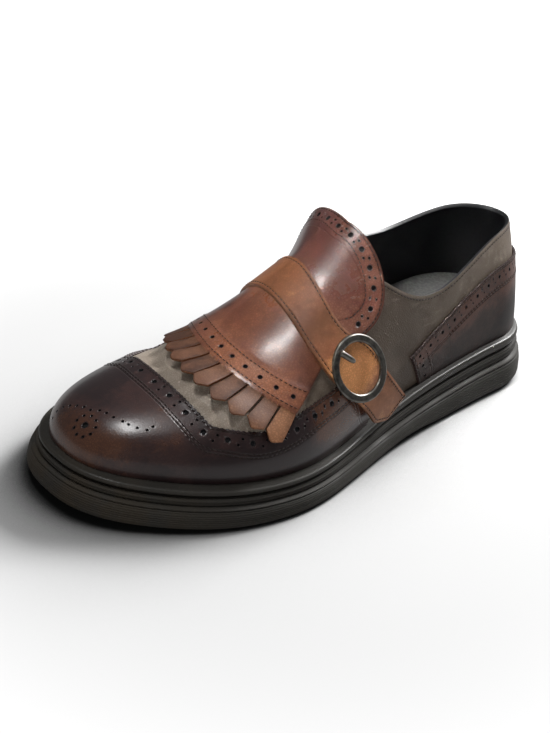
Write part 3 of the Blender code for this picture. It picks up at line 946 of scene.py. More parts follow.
# Grain: how far its cells drift, where their round ends, and the share of the fine noise
GRAIN_DRIFT = 0.0012
GRAIN_ROUND = 0.35
GRAIN_FINE = 0.12

# Patina: weights of the wide and the close clouds and of the tone, where the colours turn, and the rim
WIDE_CLOUD = 0.74
CLOSE_CLOUD = 0.26
TONE_WEIGHT = 0.25
TURN_DARK = (0.50, 0.33)
TURN_LIGHT = (0.50, 0.70)
RIM_SHADE = 0.75

# Scuffs: turn and scale of their lines, and where lines and patches of them show
SCUFF_TURN = (0.4, 0.9, 0.5)
SCUFF_SCALE = (70.0, 420.0, 420.0)
SCUFF_LINES = (0.57, 0.72)
SCUFF_PATCHES = (0.42, 0.66)


def grain_group():
    """Leather grain: rounded cells between fine furrows, with pores."""
    tree, given, put = group_of(
        "Leather grain",
        [("Vector", VECTOR, None), ("Scale", FLOAT, 800.0)],
        [("Height", FLOAT), ("Pores", FLOAT)])
    drift = noise(tree, given["Vector"], 300.0, 2.0)["Color"]
    shift = node(tree, "ShaderNodeVectorMath", {0: drift, "Scale": GRAIN_DRIFT}, operation="SCALE")
    moved = node(tree, "ShaderNodeVectorMath", {0: given["Vector"], 1: shift.outputs[0]}, operation="ADD")
    cells = node(tree, "ShaderNodeTexVoronoi", {"Vector": moved.outputs[0], "Scale": given["Scale"]},
                 feature="DISTANCE_TO_EDGE")
    swell = ranged(tree, cells.outputs["Distance"], 0.0, GRAIN_ROUND)
    fine = maths(tree, "MULTIPLY", noise(tree, given["Vector"], 2600.0, 3.0)["Fac"], GRAIN_FINE)
    tree.links.new(maths(tree, "ADD", swell, fine), put["Height"])
    tree.links.new(maths(tree, "SUBTRACT", 1.0, swell), put["Pores"])
    return tree


def patina_group():
    """Hand-burnished colour: clouds of dark and light, and a darker worked edge."""
    tree, given, put = group_of(
        "Burnished patina",
        [("Vector", VECTOR, None), ("Base", COLOUR, None), ("Dark", COLOUR, None), ("Light", COLOUR, None),
         ("Scale", FLOAT, 30.0), ("Tone", FLOAT, 0.0), ("Edge", FLOAT, 50.0), ("Edge Width", FLOAT, 2.0)],
        [("Colour", COLOUR), ("Cloud", FLOAT)])
    wide = noise(tree, given["Vector"], given["Scale"], 3.0, 0.55)["Fac"]
    close = noise(tree, given["Vector"], 260.0, 5.0, 0.6)["Fac"]
    cloud = maths(tree, "ADD", maths(tree, "MULTIPLY", wide, WIDE_CLOUD),
                  maths(tree, "MULTIPLY", close, CLOSE_CLOUD))
    toned = maths(tree, "ADD", cloud, maths(tree, "MULTIPLY", given["Tone"], TONE_WEIGHT))
    colour = mixed(tree, ranged(tree, toned, *TURN_DARK), given["Base"], given["Dark"])
    colour = mixed(tree, ranged(tree, toned, *TURN_LIGHT), colour, given["Light"])
    near = maths(tree, "DIVIDE", given["Edge"], given["Edge Width"])
    rim = maths(tree, "MULTIPLY", ranged(tree, near, 1.0, 0.0), RIM_SHADE)
    colour = mixed(tree, rim, colour, given["Dark"])
    tree.links.new(colour, put["Colour"])
    tree.links.new(toned, put["Cloud"])
    return tree


def furrow_group():
    """Furrow that a row of stitches pulls into the leather."""
    tree, given, put = group_of(
        "Stitch furrow", [("Edge", FLOAT, 50.0), ("Distance", FLOAT, 1.5), ("Width", FLOAT, 0.7)],
        [("Mask", FLOAT)])
    away = maths(tree, "ABSOLUTE", maths(tree, "SUBTRACT", given["Edge"], given["Distance"]))
    tree.links.new(ranged(tree, maths(tree, "DIVIDE", away, given["Width"]), 1.0, 0.0), put["Mask"])
    return tree


def scuff_group():
    """Fine scuffs and rubbed dust."""
    tree, given, put = group_of(
        "Scuffs and dust", [("Vector", VECTOR, None), ("Amount", FLOAT, 0.5)],
        [("Mask", FLOAT)])
    stretch = node(tree, "ShaderNodeMapping",
                   {"Vector": given["Vector"], "Rotation": SCUFF_TURN, "Scale": SCUFF_SCALE})
    lines = noise(tree, stretch.outputs[0], 1.0, 4.0)["Fac"]
    patch = noise(tree, given["Vector"], 55.0, 2.0)["Fac"]
    mask = maths(tree, "MULTIPLY", ranged(tree, lines, *SCUFF_LINES), ranged(tree, patch, *SCUFF_PATCHES))
    tree.links.new(maths(tree, "MULTIPLY", mask, given["Amount"]), put["Mask"])
    return tree


GROUP_MAKERS = {"grain": grain_group, "patina": patina_group, "furrow": furrow_group, "scuff": scuff_group}
GROUPS = {}


def placed(tree, label, inputs):
    """One of the shared groups in a material; it is made the first time it is asked for."""
    if label not in GROUPS:
        GROUPS[label] = GROUP_MAKERS[label]()
    return node(tree, "ShaderNodeGroup", inputs, node_tree=GROUPS[label]).outputs


def new_material(name):
    material = bpy.data.materials.new(name)
    material.use_nodes = True
    tree = material.node_tree
    return material, tree, tree.nodes["Principled BSDF"]


def opaque(colour, factor=1.0):
    return tuple(min(part * factor, 1.0) for part in colour) + (1.0,)


Leather = namedtuple("Leather", "dark light roughness spread coat grain depth cloud edge furrows scuffs")

# How strongly the effects work in every leather
PORE_SHADE = 0.35
FURROW_SHADE = 0.4
FURROW_DEPTH = 1.5
SCUFF_DULLING = 0.25
LEATHER_RELIEF = (0.55, 0.00022)
LEATHER_COAT_ROUGHNESS = 0.19
LEATHER_SPECULAR = 0.25
COAT_SPECULAR = 0.5


def leather(name, colour, look):
    """Burnished leather with grain, patina, stitch furrows and fine scuffs."""
    material, tree, shader = new_material(name)
    dark = opaque(look.dark)
    light = opaque(look.light)
    spot = node(tree, "ShaderNodeTexCoord").outputs["Object"]
    edge = node(tree, "ShaderNodeAttribute", attribute_name="edge").outputs["Fac"]
    # The tone attribute holds each piece's tones; on the quarter's heel, the kiltie's band, the tongue's
    # sides and the strap inside the buckle it carries painted light and shade
    tone = node(tree, "ShaderNodeAttribute", attribute_name="tone").outputs["Fac"]
    patina = placed(tree, "patina", {
        "Vector": spot, "Base": opaque(colour), "Dark": dark, "Light": light,
        "Scale": look.cloud, "Tone": tone, "Edge": edge, "Edge Width": look.edge})
    grain = placed(tree, "grain", {"Vector": spot, "Scale": look.grain})
    scuff = placed(tree, "scuff", {"Vector": spot, "Amount": look.scuffs})
    colour_now = mixed(tree, maths(tree, "MULTIPLY", grain["Pores"], PORE_SHADE), patina["Colour"], dark)
    colour_now = mixed(tree, scuff["Mask"], colour_now, light)
    height = maths(tree, "MULTIPLY", grain["Height"], look.depth)
    for distance, width in look.furrows:
        furrow = placed(tree, "furrow", {"Edge": edge, "Distance": distance, "Width": width})["Mask"]
        colour_now = mixed(tree, maths(tree, "MULTIPLY", furrow, FURROW_SHADE), colour_now, dark)
        height = maths(tree, "SUBTRACT", height, maths(tree, "MULTIPLY", furrow, FURROW_DEPTH))
    tree.links.new(colour_now, shader.inputs["Base Color"])
    rough = ranged(tree, patina["Cloud"], 0.35, 0.7, look.roughness + look.spread, look.roughness)
    rough = maths(tree, "ADD", rough, maths(tree, "MULTIPLY", scuff["Mask"], SCUFF_DULLING))
    tree.links.new(rough, shader.inputs["Roughness"])
    roughened(tree, shader, height, *LEATHER_RELIEF)
    shader.inputs["Coat Weight"].default_value = look.coat
    shader.inputs["Coat Roughness"].default_value = LEATHER_COAT_ROUGHNESS
    shader.inputs["Specular IOR Level"].default_value = LEATHER_SPECULAR + COAT_SPECULAR * look.coat
    return material


FIBRE_RELIEF = 0.5


def fibrous(name, colour, factor, roughness, scale, height):
    """Matte fibres of a colour and a shade of it: cut edges, linings, insole, thread."""
    material, tree, shader = new_material(name)
    spot = node(tree, "ShaderNodeTexCoord").outputs["Object"]
    fibre = noise(tree, spot, scale, 4.0)["Fac"]
    share = ranged(tree, fibre, 0.3, 0.7)
    tree.links.new(mixed(tree, share, opaque(colour, factor), opaque(colour)), shader.inputs["Base Color"])
    roughened(tree, shader, fibre, FIBRE_RELIEF, height)
    shader.inputs["Roughness"].default_value = roughness
    return material


# Rubber: colour and stations of the worn toe, colour factor of the dust, relief and gloss
WORN_TOE = (0.062, 0.043, 0.024, 1.0)
WORN_FROM = 0.085
WORN_TO = 0.15
DUST_FACTOR = 2.2
RUBBER_RELIEF = (0.25, 0.0001)
RUBBER_SPREAD = 0.15
RUBBER_COAT_ROUGHNESS = 0.18
RUBBER_SPECULAR = 0.22


def rubber(name, colour, roughness, coat, wear):
    """Moulded rubber with fine dust and worn brown at the toe."""
    material, tree, shader = new_material(name)
    spot = node(tree, "ShaderNodeTexCoord").outputs["Object"]
    speck = noise(tree, spot, 900.0, 4.0)["Fac"]
    patch = noise(tree, spot, 60.0, 4.0)["Fac"]
    parts = node(tree, "ShaderNodeSeparateXYZ", {0: spot})
    toe = ranged(tree, parts.outputs["X"], WORN_FROM, WORN_TO)
    worn = maths(tree, "MULTIPLY", toe, ranged(tree, patch, 0.4, 0.62))
    tinted = mixed(tree, maths(tree, "MULTIPLY", worn, wear), opaque(colour), WORN_TOE)
    dusty = mixed(tree, ranged(tree, speck, 0.58, 0.8, 0.0, 0.5), tinted, opaque(colour, DUST_FACTOR))
    tree.links.new(dusty, shader.inputs["Base Color"])
    dull = ranged(tree, patch, 0.3, 0.7, roughness, roughness + RUBBER_SPREAD)
    tree.links.new(dull, shader.inputs["Roughness"])
    roughened(tree, shader, speck, *RUBBER_RELIEF)
    shader.inputs["Coat Weight"].default_value = coat
    shader.inputs["Coat Roughness"].default_value = RUBBER_COAT_ROUGHNESS
    shader.inputs["Specular IOR Level"].default_value = RUBBER_SPECULAR
    return material


TARNISH = 0.45
METAL_RELIEF = (0.2, 0.00005)


def antique_metal(name, colour):
    """Dark nickel with tarnish and fine brushing."""
    material, tree, shader = new_material(name)
    spot = node(tree, "ShaderNodeTexCoord").outputs["Object"]
    cloud = noise(tree, spot, 220.0, 5.0)["Fac"]
    share = ranged(tree, cloud, 0.38, 0.62)
    tree.links.new(mixed(tree, share, opaque(colour, TARNISH), opaque(colour)), shader.inputs["Base Color"])
    tree.links.new(ranged(tree, cloud, 0.3, 0.7, 0.42, 0.28), shader.inputs["Roughness"])
    roughened(tree, shader, noise(tree, spot, 1800.0, 3.0)["Fac"], *METAL_RELIEF)
    shader.inputs["Metallic"].default_value = 1.0
    return material


MATERIALS = {}


def finish(label):
    """A finish of the shoe, made the first time a piece asks for it."""
    if label not in MATERIALS:
        maker, name, colour, *look = FINISHES[label]
        MATERIALS[label] = maker(name, getattr(bpy.context.scene.loafer_colours, colour), *look)
    return MATERIALS[label]


QUARTER_LOOK = Leather(
    dark=(0.088, 0.067, 0.051), light=(0.420, 0.352, 0.286), roughness=0.46, spread=0.10, coat=0.02,
    grain=950.0, depth=0.40, cloud=22.0, edge=0.9, furrows=((COLLAR_ROW, 0.8),), scuffs=0.15)
WING_LOOK = Leather(
    dark=(0.017, 0.0092, 0.0098), light=(0.105, 0.044, 0.025), roughness=0.25, spread=0.10, coat=0.45,
    grain=900.0, depth=0.15, cloud=30.0, edge=2.0,
    furrows=((EDGE_ROW, 0.6), (WING_SEAM, 0.6), (WING_SEAM + SEAM_ROWS, 0.6)), scuffs=0.2)
FOXING_LOOK = Leather(
    dark=(0.012, 0.0068, 0.0060), light=(0.100, 0.036, 0.021), roughness=0.36, spread=0.12, coat=0.0,
    grain=900.0, depth=0.18, cloud=30.0, edge=2.0,
    furrows=((EDGE_ROW, 0.6), (FOXING_SEAM, 0.6), (FOXING_SEAM + SEAM_ROWS, 0.6)), scuffs=0.2)
KILTIE_LOOK = Leather(
    dark=(0.066, 0.020, 0.012), light=(0.330, 0.132, 0.068), roughness=0.26, spread=0.12, coat=0.50,
    grain=780.0, depth=0.20, cloud=30.0, edge=1.2, furrows=(), scuffs=0.2)
FRINGE_LOOK = KILTIE_LOOK._replace(
    dark=(0.050, 0.020, 0.011), light=(0.330, 0.155, 0.078), roughness=0.46, coat=0.0)
TONGUE_LOOK = Leather(
    dark=(0.055, 0.017, 0.012), light=(0.230, 0.092, 0.060), roughness=0.24, spread=0.12, coat=0.80,
    grain=780.0, depth=0.24, cloud=30.0, edge=2.0,
    furrows=((EDGE_ROW, 0.7), (TONGUE_SEAM, 0.7)), scuffs=0.2)
STRAP_LOOK = Leather(
    dark=(0.135, 0.049, 0.020), light=(0.660, 0.300, 0.120), roughness=0.36, spread=0.12, coat=0.05,
    grain=850.0, depth=0.10, cloud=30.0, edge=0.7, furrows=((STRAP_ROW, 0.7),), scuffs=0.15)

# Finishes: their maker, their name, the colour that they start from, and the rest of their look
FINISHES = {
    "quarter": (leather, "Quarter leather", "quarter", QUARTER_LOOK),
    "wing": (leather, "Wing cap leather", "wing", WING_LOOK),
    "foxing": (leather, "Foxing leather", "foxing", FOXING_LOOK),
    "kiltie": (leather, "Kiltie leather", "kiltie", KILTIE_LOOK),
    "fringe": (leather, "Fringe leather", "fringe", FRINGE_LOOK),
    "tongue": (leather, "Tongue leather", "tongue", TONGUE_LOOK),
    "strap": (leather, "Strap leather", "strap", STRAP_LOOK),
    "cut": (fibrous, "Cut edge", "wing", 0.5, 0.6, 1500.0, 0.0002),
    "cut_light": (fibrous, "Waxed cut edge", "strap", 0.5, 0.5, 1500.0, 0.0002),
    "cut_grey": (fibrous, "Folded topline", "lining", 1.6, 0.45, 900.0, 0.0002),
    "back": (fibrous, "Leather back", "tongue", 0.45, 0.8, 1200.0, 0.0003),
    "lining": (fibrous, "Lining leather", "lining", 0.6, 0.6, 700.0, 0.0002),
    "insole": (fibrous, "Insole sock", "insole", 0.6, 0.62, 600.0, 0.0002),
    "thread": (fibrous, "Waxed thread", "thread", 0.6, 0.80, 4000.0, 0.0001),
    # Painted shade: the near-black floor and lower walls of each hole
    "bore": (fibrous, "Punched hole", "lining", 0.5, 0.85, 2000.0, 0.0001),
    "outsole": (rubber, "Outsole rubber", "rubber", 0.60, 0.0, 0.35),
    "midsole": (rubber, "Midsole rubber", "rubber", 0.58, 0.0, 0.35),
    "welt": (rubber, "Polished welt", "rubber", 0.38, 0.08, 0.2),
    "metal": (antique_metal, "Antique nickel", "metal"),
}


def take_over(piece, label):
    """The piece stands in for the CAD node of this name, which is hidden."""
    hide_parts(label)


# Pieces of the upper


def shell_place(outer, inner):
    """Place on the last for the upper and its overlays; the probe lies a little further out."""
    def place(along, turn, spare, face):
        grow = inner if face == INNER_FACE else outer + (PROBE_LIFT if face == PROBE_FACE else 0.0)
        return last_point(along, turn, grow + creased(along, turn))
    return place


UPPER_PLACE = shell_place(0.0, -WALL)
OVERLAY_PLACE = shell_place(OVERLAY_GAP + OVERLAY_THICK, OVERLAY_GAP)


UPPER_ROWS = 140
UPPER_COLUMNS = 30
UPPER_RIM = 0.7
COLLAR_SPOTS = 160
THROAT_STEP = 0.0001

# Tones are a strength each, and where they start and over which length, or a middle and a width
# The heel's tone is a painted sheen on the back of the quarter
HEEL_SHEEN_TONE = 0.1
HEEL_SHEEN_STATION = (0.33, -0.2)
MIDDLE_TONE = -0.65
MIDDLE_STATION = (0.44, 0.09)
THROAT_TONE = 0.95
THROAT_STATION = (0.62, 0.1)


def collar_turn(along, collar):
    return np.where(along < THROAT - THROAT_STEP, turn_at_height(along, collar(along)), 0.5)


def quarter_tone(along):
    """Heel lightened by a painted sheen, lighter throat, and darker middle of the quarter."""
    heel = HEEL_SHEEN_TONE * ramp(along, *HEEL_SHEEN_STATION)
    middle = MIDDLE_TONE * bell(along, *MIDDLE_STATION)
    return heel + middle + THROAT_TONE * ramp(along, *THROAT_STATION)


def upper_sheet(medial):
    collar = collar_medial if medial else collar_lateral

    def spots(run, across):
        rear = THROAT * (1.0 - np.cos(math.pi * np.minimum(run, 0.5)))
        front = (1.0 - THROAT) * np.sin(math.pi * np.maximum(run - 0.5, 0.0))
        along = rear + front
        turn = collar_turn(along, collar) * across
        return along, on_side(turn, medial), 0.0, quarter_tone(along)
    return UPPER_ROWS, UPPER_COLUMNS, spots


def collar_lines():
    along = THROAT * (1.0 - np.cos(0.5 * math.pi * np.linspace(0.0, 1.0, COLLAR_SPOTS)))
    lines = []
    for medial, collar in ((False, collar_lateral), (True, collar_medial)):
        turn = collar_turn(np.minimum(along, THROAT - 2.0 * THROAT_STEP), collar)
        lines.append((along, on_side(turn, medial), 0.0 * along))
    return lines


def make_upper():
    bm = cut_leather([upper_sheet(False), upper_sheet(True)], UPPER_PLACE, UPPER_RIM, both_rims=True)
    piece = finish_piece(bm, "upper_leather", ["quarter", "lining", "cut_grey"], ROUND_SHARP)
    rows = []
    edges = []
    for spots, side in zip(collar_lines(), (1.0, -1.0)):
        line, out = outward(UPPER_PLACE, spots)
        edges.append(line)
        rows.append(beside(line, out, side * COLLAR_ROW))
    edge_distance(piece, edges)
    take_over(piece, "upper")
    sew("upper_stitching", piece, rows)


def notched(arc):
    """Depth of the gimped edge at a distance along it, in millimetres."""
    sizes = bpy.context.scene.loafer_sizes
    wave = 0.5 - 0.5 * np.cos(2.0 * math.pi * arc * MM / sizes.notch_pitch)
    return wave * sizes.notch_depth / MM


# Sheets of the overlays, and spots along the edge of the wing cap over the toe and along the side
OVERLAY_RIM = 0.28
OVERLAY_PUNCH = 0.95
AT_START = 0.001
AT_END = 0.999
NOTCH_CALM = 2.0
WING_BACK = 170
WING_TOE = 26
WING_LOW = 14
WING_OVER = 64
WING_ACROSS = 90
WING_ALONG = 190
WING_BEND = WING_ACROSS - 1
WING_STITCH_END = -30
WING_HOLE_END = -24
WING_PITCH = 11.7
TURN_STEP = 0.004
LEAST_RATE = 30.0

# Bow of the wing cap's back edge over the toe
BOW_MIDDLE = 0.42
BOW_REACH = 0.25
BOW_DEPTH = 0.018
BOW_STATION = (0.74, 0.08)

PLAIN_WING = -0.35
TOE_TONE = 0.95
TOE_STATION = (0.925, 0.05)
LOW_TONE = -0.25
LOW_TURN = (0.20, -0.15)
REAR_TONE = 2.4
REAR_STATION = (0.70, -0.06)
REAR_TURN = 0.14
REAR_WIDTH = (0.12, -0.08)


def wing_bow(along, turn):
    """Gentle curve of the back edge of the wing cap over the toe."""
    reach = (turn - BOW_MIDDLE) / BOW_REACH
    bow = -BOW_DEPTH * np.minimum(reach * reach, 1.0) * smooth((1.0 - along) / (1.0 - WING_FRONT))
    return along + bow * ramp(along, *BOW_STATION)


def wing_edge(medial):
    """Back edge of the wing cap from the toe's middle to the wing's end."""
    edge = wing_medial if medial else wing_lateral
    across = np.linspace(0.5, WING_CORNER, WING_ACROSS)
    back = np.linspace(WING_FRONT, WING_START, WING_ALONG)[1:]
    turn = on_side(np.concatenate((across, edge(back))), medial)
    along = np.concatenate((np.full(WING_ACROSS, WING_FRONT), back))
    line = OVERLAY_PLACE(wing_bow(along, turn), turn, 0.0 * along, OUTER_FACE)
    return along, turn, length_along(line)


def wing_sheets(medial):
    edge = wing_medial if medial else wing_lateral
    edge_along, edge_turn, edge_arc = wing_edge(medial)

    def sided(along, turn, tone):
        turn = on_side(turn, medial)
        return wing_bow(along, turn), turn, 0.0, tone

    def low(run, across):
        place = run * (WING_BACK + WING_TOE)
        back = WING_START + (WING_FRONT - WING_START) * np.minimum(place / WING_BACK, 1.0)
        toe = np.maximum(place - WING_BACK, 0.0) / WING_TOE
        along = back + (1.0 - WING_FRONT) * np.sin(0.5 * math.pi * toe)
        top = edge(np.minimum(along, WING_FRONT))
        arc = np.interp(-along, -edge_along[WING_BEND:], edge_arc[WING_BEND:])
        calm = ramp(arc, edge_arc[WING_BEND], NOTCH_CALM)
        notch = notched(arc) * calm * (across > AT_END) * (toe == 0.0)
        change = np.abs(girth_at(along, top - TURN_STEP) - girth_at(along, top + TURN_STEP))
        turn = top * across - notch / np.maximum(change / (2.0 * TURN_STEP), LEAST_RATE)
        return sided(along, turn, wing_tone(along, turn))

    def high(run, across):
        along = WING_FRONT + (1.0 - WING_FRONT) * np.sin(0.5 * math.pi * run)
        turn = WING_CORNER + (0.5 - WING_CORNER) * across
        line = on_side(edge_turn[:WING_ACROSS], medial)
        arc = np.interp(-turn, -line, edge_arc[:WING_ACROSS])
        calm = ramp(arc, edge_arc[WING_BEND], -NOTCH_CALM)
        notch = notched(arc) * calm * (run < AT_START)
        return sided(along + notch / LAST_LENGTH, turn, wing_tone(along, turn))

    return [(WING_BACK + WING_TOE, WING_LOW, low), (WING_TOE, WING_OVER, high)]


def wing_tone(along, turn):
    """Brown at the front of the toe, aubergine on top and red-brown low on the sides."""
    front = TOE_TONE * ramp(along, *TOE_STATION)
    low = LOW_TONE * ramp(turn, *LOW_TURN)
    rear = REAR_TONE * ramp(along, *REAR_STATION) * ramp(np.abs(turn - REAR_TURN), *REAR_WIDTH)
    return PLAIN_WING + front + low + rear


def big_and_small(line, out, distance, pitch, start, pair):
    """Row of large holes with a pair of small ones between each two."""
    sizes = bpy.context.scene.loafer_sizes
    middle = beside(line, out, distance)
    spots = [(point, sizes.big_hole / MM) for point in paced(middle, pitch, start)[0]]
    between = paced(middle, pitch, start + 0.5 * pitch)[0]
    inward = paced(middle + (middle - line) / abs(distance), pitch, start + 0.5 * pitch)[0]
    for near in between:
        way = inward[np.argmin(np.linalg.norm(inward - near, axis=1))] - near
        way = pair * unit(way)
        spots += [(near + way, sizes.small_hole / MM), (near - way, sizes.small_hole / MM)]
    return spots


# Medallion on the toe: spots over the cap as station and girth, with a size
MEDALLION = (0.976, 4.3)
MEDALLION_RING = 5.4
MEDALLION_COUNT = 9
MEDALLION_CENTRE_SHARE = 1.15
MEDALLION_SHARE = 1.1
MEDALLION_STEP = (0.008, 2.0)
TRAIL = ((0.956, -0.8), (0.948, 2.3), (0.944, 5.6), (0.941, 9.5), (0.935, 13.6), (0.931, 16.3),
         (0.924, 19.6), (0.914, 22.6), (0.904, 22.5), (0.958, -4.6), (0.962, -8.2), (0.966, -11.6),
         (0.971, -14.6), (0.977, -16.8), (0.984, -17.0))


def medallion_holes():
    sizes = bpy.context.scene.loafer_sizes

    def spot(along, girth):
        turn = turn_at_girth(np.array(along), np.array(girth))
        return OVERLAY_PLACE(np.array([along]), np.array([turn]), 0.0, OUTER_FACE)[0]
    station, girth = MEDALLION
    centre = spot(station, girth)
    ahead = unit(spot(station + MEDALLION_STEP[0], girth) - centre)
    across = spot(station, girth + MEDALLION_STEP[1]) - centre
    across = unit(across - ahead * (across @ ahead))
    turns = [2.0 * math.pi * i / MEDALLION_COUNT for i in range(MEDALLION_COUNT)]
    small = [centre + MEDALLION_RING * (ahead * math.cos(turn) + across * math.sin(turn)) for turn in turns]
    small += [spot(*place) for place in TRAIL]
    holes = [(centre, MEDALLION_CENTRE_SHARE * sizes.big_hole / MM)]
    return holes + [(point, MEDALLION_SHARE * sizes.small_hole / MM) for point in small]


def make_wing_cap():
    sheets = wing_sheets(False) + wing_sheets(True)
    bm = cut_leather(sheets, OVERLAY_PLACE, OVERLAY_RIM)
    piece = finish_piece(bm, "wing_cap_leather", ["wing", "back", "cut"])
    edges = []
    rows = []
    holes = medallion_holes()
    for medial, side in ((False, -1.0), (True, 1.0)):
        along, turn = wing_edge(medial)[:2]
        line, out = outward(OVERLAY_PLACE, (wing_bow(along, turn), turn, 0.0 * along))
        edges.append(line)
        for distance in (EDGE_ROW, WING_SEAM, WING_SEAM + SEAM_ROWS):
            rows.append(beside(line, out, side * distance)[:WING_STITCH_END])
        start = WING_PITCH if medial else 0.0
        holes += big_and_small(line[:WING_HOLE_END], out[:WING_HOLE_END], side * WING_HOLES, WING_PITCH,
                               start, WING_PAIR)
    edge_distance(piece, edges)
    sew("wing_cap_stitching", piece, rows)
    punch(piece, holes, OVERLAY_PUNCH, "wing")
    take_over(piece, "wing_cap")


# Sheet of the foxing, spots along its top and down its front end, and where its rows end
FOXING_ROWS = 240
FOXING_COLUMNS = 22
FOXING_TOP = 200
FOXING_DOWN = 40
FOXING_BEND = FOXING_TOP - 1
FOXING_SEAM_END = 175
FOXING_HOLE_END = 188
FOXING_DOWN_START = 212
FOXING_FOOT = -6
FOXING_PITCH = 10.5
FOXING_DOWN_PITCH = 8.5
FOXING_DOWN_FIRST = 6.5
PLAIN_FOXING = -0.4
FOXING_TONE_SHARE = (0.3, 0.4)


def foxing_edge(medial):
    """Top edge of the foxing from the back of the heel, then down its front end."""
    run = np.linspace(0.0, 1.0, FOXING_TOP) ** 2
    top = run * (FOXING_FRONT + FOXING_SLANT)
    down = np.linspace(1.0, 0.0, FOXING_DOWN)[1:]
    along = np.concatenate((top, FOXING_FRONT + FOXING_SLANT * down))
    share = np.concatenate((np.ones(FOXING_TOP), down))
    turn = on_side(turn_at_height(along, foxing_height(along) * share), medial)
    line = OVERLAY_PLACE(along, turn, 0.0 * along, OUTER_FACE)
    return along, turn, share, length_along(line)


def foxing_sheet(medial):
    edge_along, _, edge_share, edge_arc = foxing_edge(medial)
    bend = edge_arc[FOXING_BEND]

    def spots(run, across):
        reach = 1.0 - np.cos(0.5 * math.pi * run)
        along = reach * (FOXING_FRONT + FOXING_SLANT * across)
        arc = np.interp(along, edge_along[:FOXING_TOP], edge_arc[:FOXING_TOP])
        top = notched(arc) * ramp(arc, bend, -NOTCH_CALM) * (across > AT_END)
        arc = np.interp(-across, -edge_share[FOXING_BEND:], edge_arc[FOXING_BEND:])
        front = notched(arc) * ramp(arc, bend, NOTCH_CALM) * (run > AT_END)
        turn = turn_at_height(along, foxing_height(along) * across - top)
        tone = ramp(across, *FOXING_TONE_SHARE) + PLAIN_FOXING
        return along - front / LAST_LENGTH, on_side(turn, medial), 0.0, tone
    return FOXING_ROWS, FOXING_COLUMNS, spots


def make_heel_foxing():
    bm = cut_leather([foxing_sheet(False), foxing_sheet(True)], OVERLAY_PLACE, OVERLAY_RIM)
    piece = finish_piece(bm, "heel_foxing_leather", ["foxing", "back", "cut"])
    edges = []
    rows = []
    holes = []
    for medial, side in ((False, 1.0), (True, -1.0)):
        along, turn = foxing_edge(medial)[:2]
        line, out = outward(OVERLAY_PLACE, (along, turn, 0.0 * along))
        edges.append(line)
        rows.append(beside(line, out, side * EDGE_ROW)[:FOXING_FOOT])
        for distance in (FOXING_SEAM, FOXING_SEAM + SEAM_ROWS):
            rows.append(beside(line[:FOXING_SEAM_END], out[:FOXING_SEAM_END], side * distance))
        down = slice(FOXING_DOWN_START, None)
        rows.append(beside(line[down], out[down], side * FOXING_SEAM)[:FOXING_FOOT])
        start = FOXING_PITCH if medial else 0.0
        holes += big_and_small(line[:FOXING_HOLE_END], out[:FOXING_HOLE_END], side * FOXING_HOLES,
                               FOXING_PITCH, start, WING_PAIR)
        holes += big_and_small(line[FOXING_BEND:], out[FOXING_BEND:], side * FOXING_HOLES,
                               FOXING_DOWN_PITCH, FOXING_DOWN_FIRST, WING_PAIR)
    holes = [(point, FOXING_HOLE_SHARE * radius) for point, radius in holes]
    edge_distance(piece, edges)
    sew("heel_foxing_stitching", piece, rows)
    punch(piece, holes, OVERLAY_PUNCH, "foxing")
    take_over(piece, "heel_foxing")


# Flaps over the instep


def flap_place(thick, crown=None):
    """Place of a flap: its own lift on the inner face and its thickness outside."""
    def place(x, girth, lift, face):
        grow = lift
        if face != INNER_FACE:
            grow = grow + thick + (PROBE_LIFT if face == PROBE_FACE else 0.0)
            if crown is not None:
                grow = grow + crown(x, girth)
        return flap_point(x, girth, grow)
    return place


def flap_centre(x):
    """Girth of the middle of the flap, which drifts to the outer side forward."""
    return FLAP_MIDDLE + FLAP_DRIFT * ramp(x / LAST_LENGTH, DRIFT_START, DRIFT_RUN)


def flap_seam(girth):
    """Where the kiltie and the tongue meet, under the middle of the strap."""
    return strap_along(girth) * LAST_LENGTH


def band_front(q):
    return (BAND_APEX - BAND_SWEEP * q * q) * LAST_LENGTH


def kiltie_body(q, share):
    start = flap_seam(FLAP_MIDDLE + q * FLAP_BACK_HALF) + 0.5 * SEAM_GAP
    x = start + (band_front(q) - start) * share
    wide = FLAP_BACK_HALF + (FLAP_FRONT_HALF - FLAP_BACK_HALF) * share
    lift = FLAP_LIFT + (BAND_LIFT - FLAP_LIFT) * smooth(share)
    return x, flap_centre(x) + q * wide, lift


SWELL = 0.35
SWELL_FRONT = -0.5
SWELL_BACK = 2.2
SWELL_RUN = 1.6


def band_swell(x, girth):
    """The band over the fringe stands a little proud of the flap."""
    q = (girth - flap_centre(x)) / FLAP_FRONT_HALF
    back = band_front(q) - x
    return SWELL * ramp(back, SWELL_FRONT, SWELL_RUN) * ramp(back, BAND_BACK_ROW + SWELL_BACK, -SWELL_RUN)


KILTIE_PLACE = flap_place(FLAP_THICK, band_swell)
KILTIE_ROWS = 34
KILTIE_RIM = 0.25
KILTIE_SIDE_SPOTS = 40
STRIP_COLUMNS = 8
STRIP_ROWS = 16
FLAP_PUNCH = 1.1
BAND_REACH = 0.985
BAND_SPOTS = 160
BAND_PITCH = 8.7
BAND_FIRST = 4.0
BAND_HOLE_SHARE = 0.86

# Tones of the kiltie: its plain part, its inner and outer sides, its back, and its band, whose tone is a
# painted highlight on its outer half
PLAIN_KILTIE = 0.4
INNER_SIDE_TONE = 1.8
OUTER_SIDE_TONE = 0.5
KILTIE_BACK_TONE = 0.3
KILTIE_BACK_SHARE = (0.25, -0.25)
BAND_GLINT_TONE = 0.5
BAND_GLINT_START = 1.0
BAND_GLINT_RUN = 1.5
BAND_GLINT_SIDE = (-0.5, 0.5)

# The strips: where their points narrow, how soon they rise, and their darker sides
STRIP_NARROWING = 0.8
STRIP_RISE_PACE = 1.1
STRIP_SIDE_TONE = 0.3


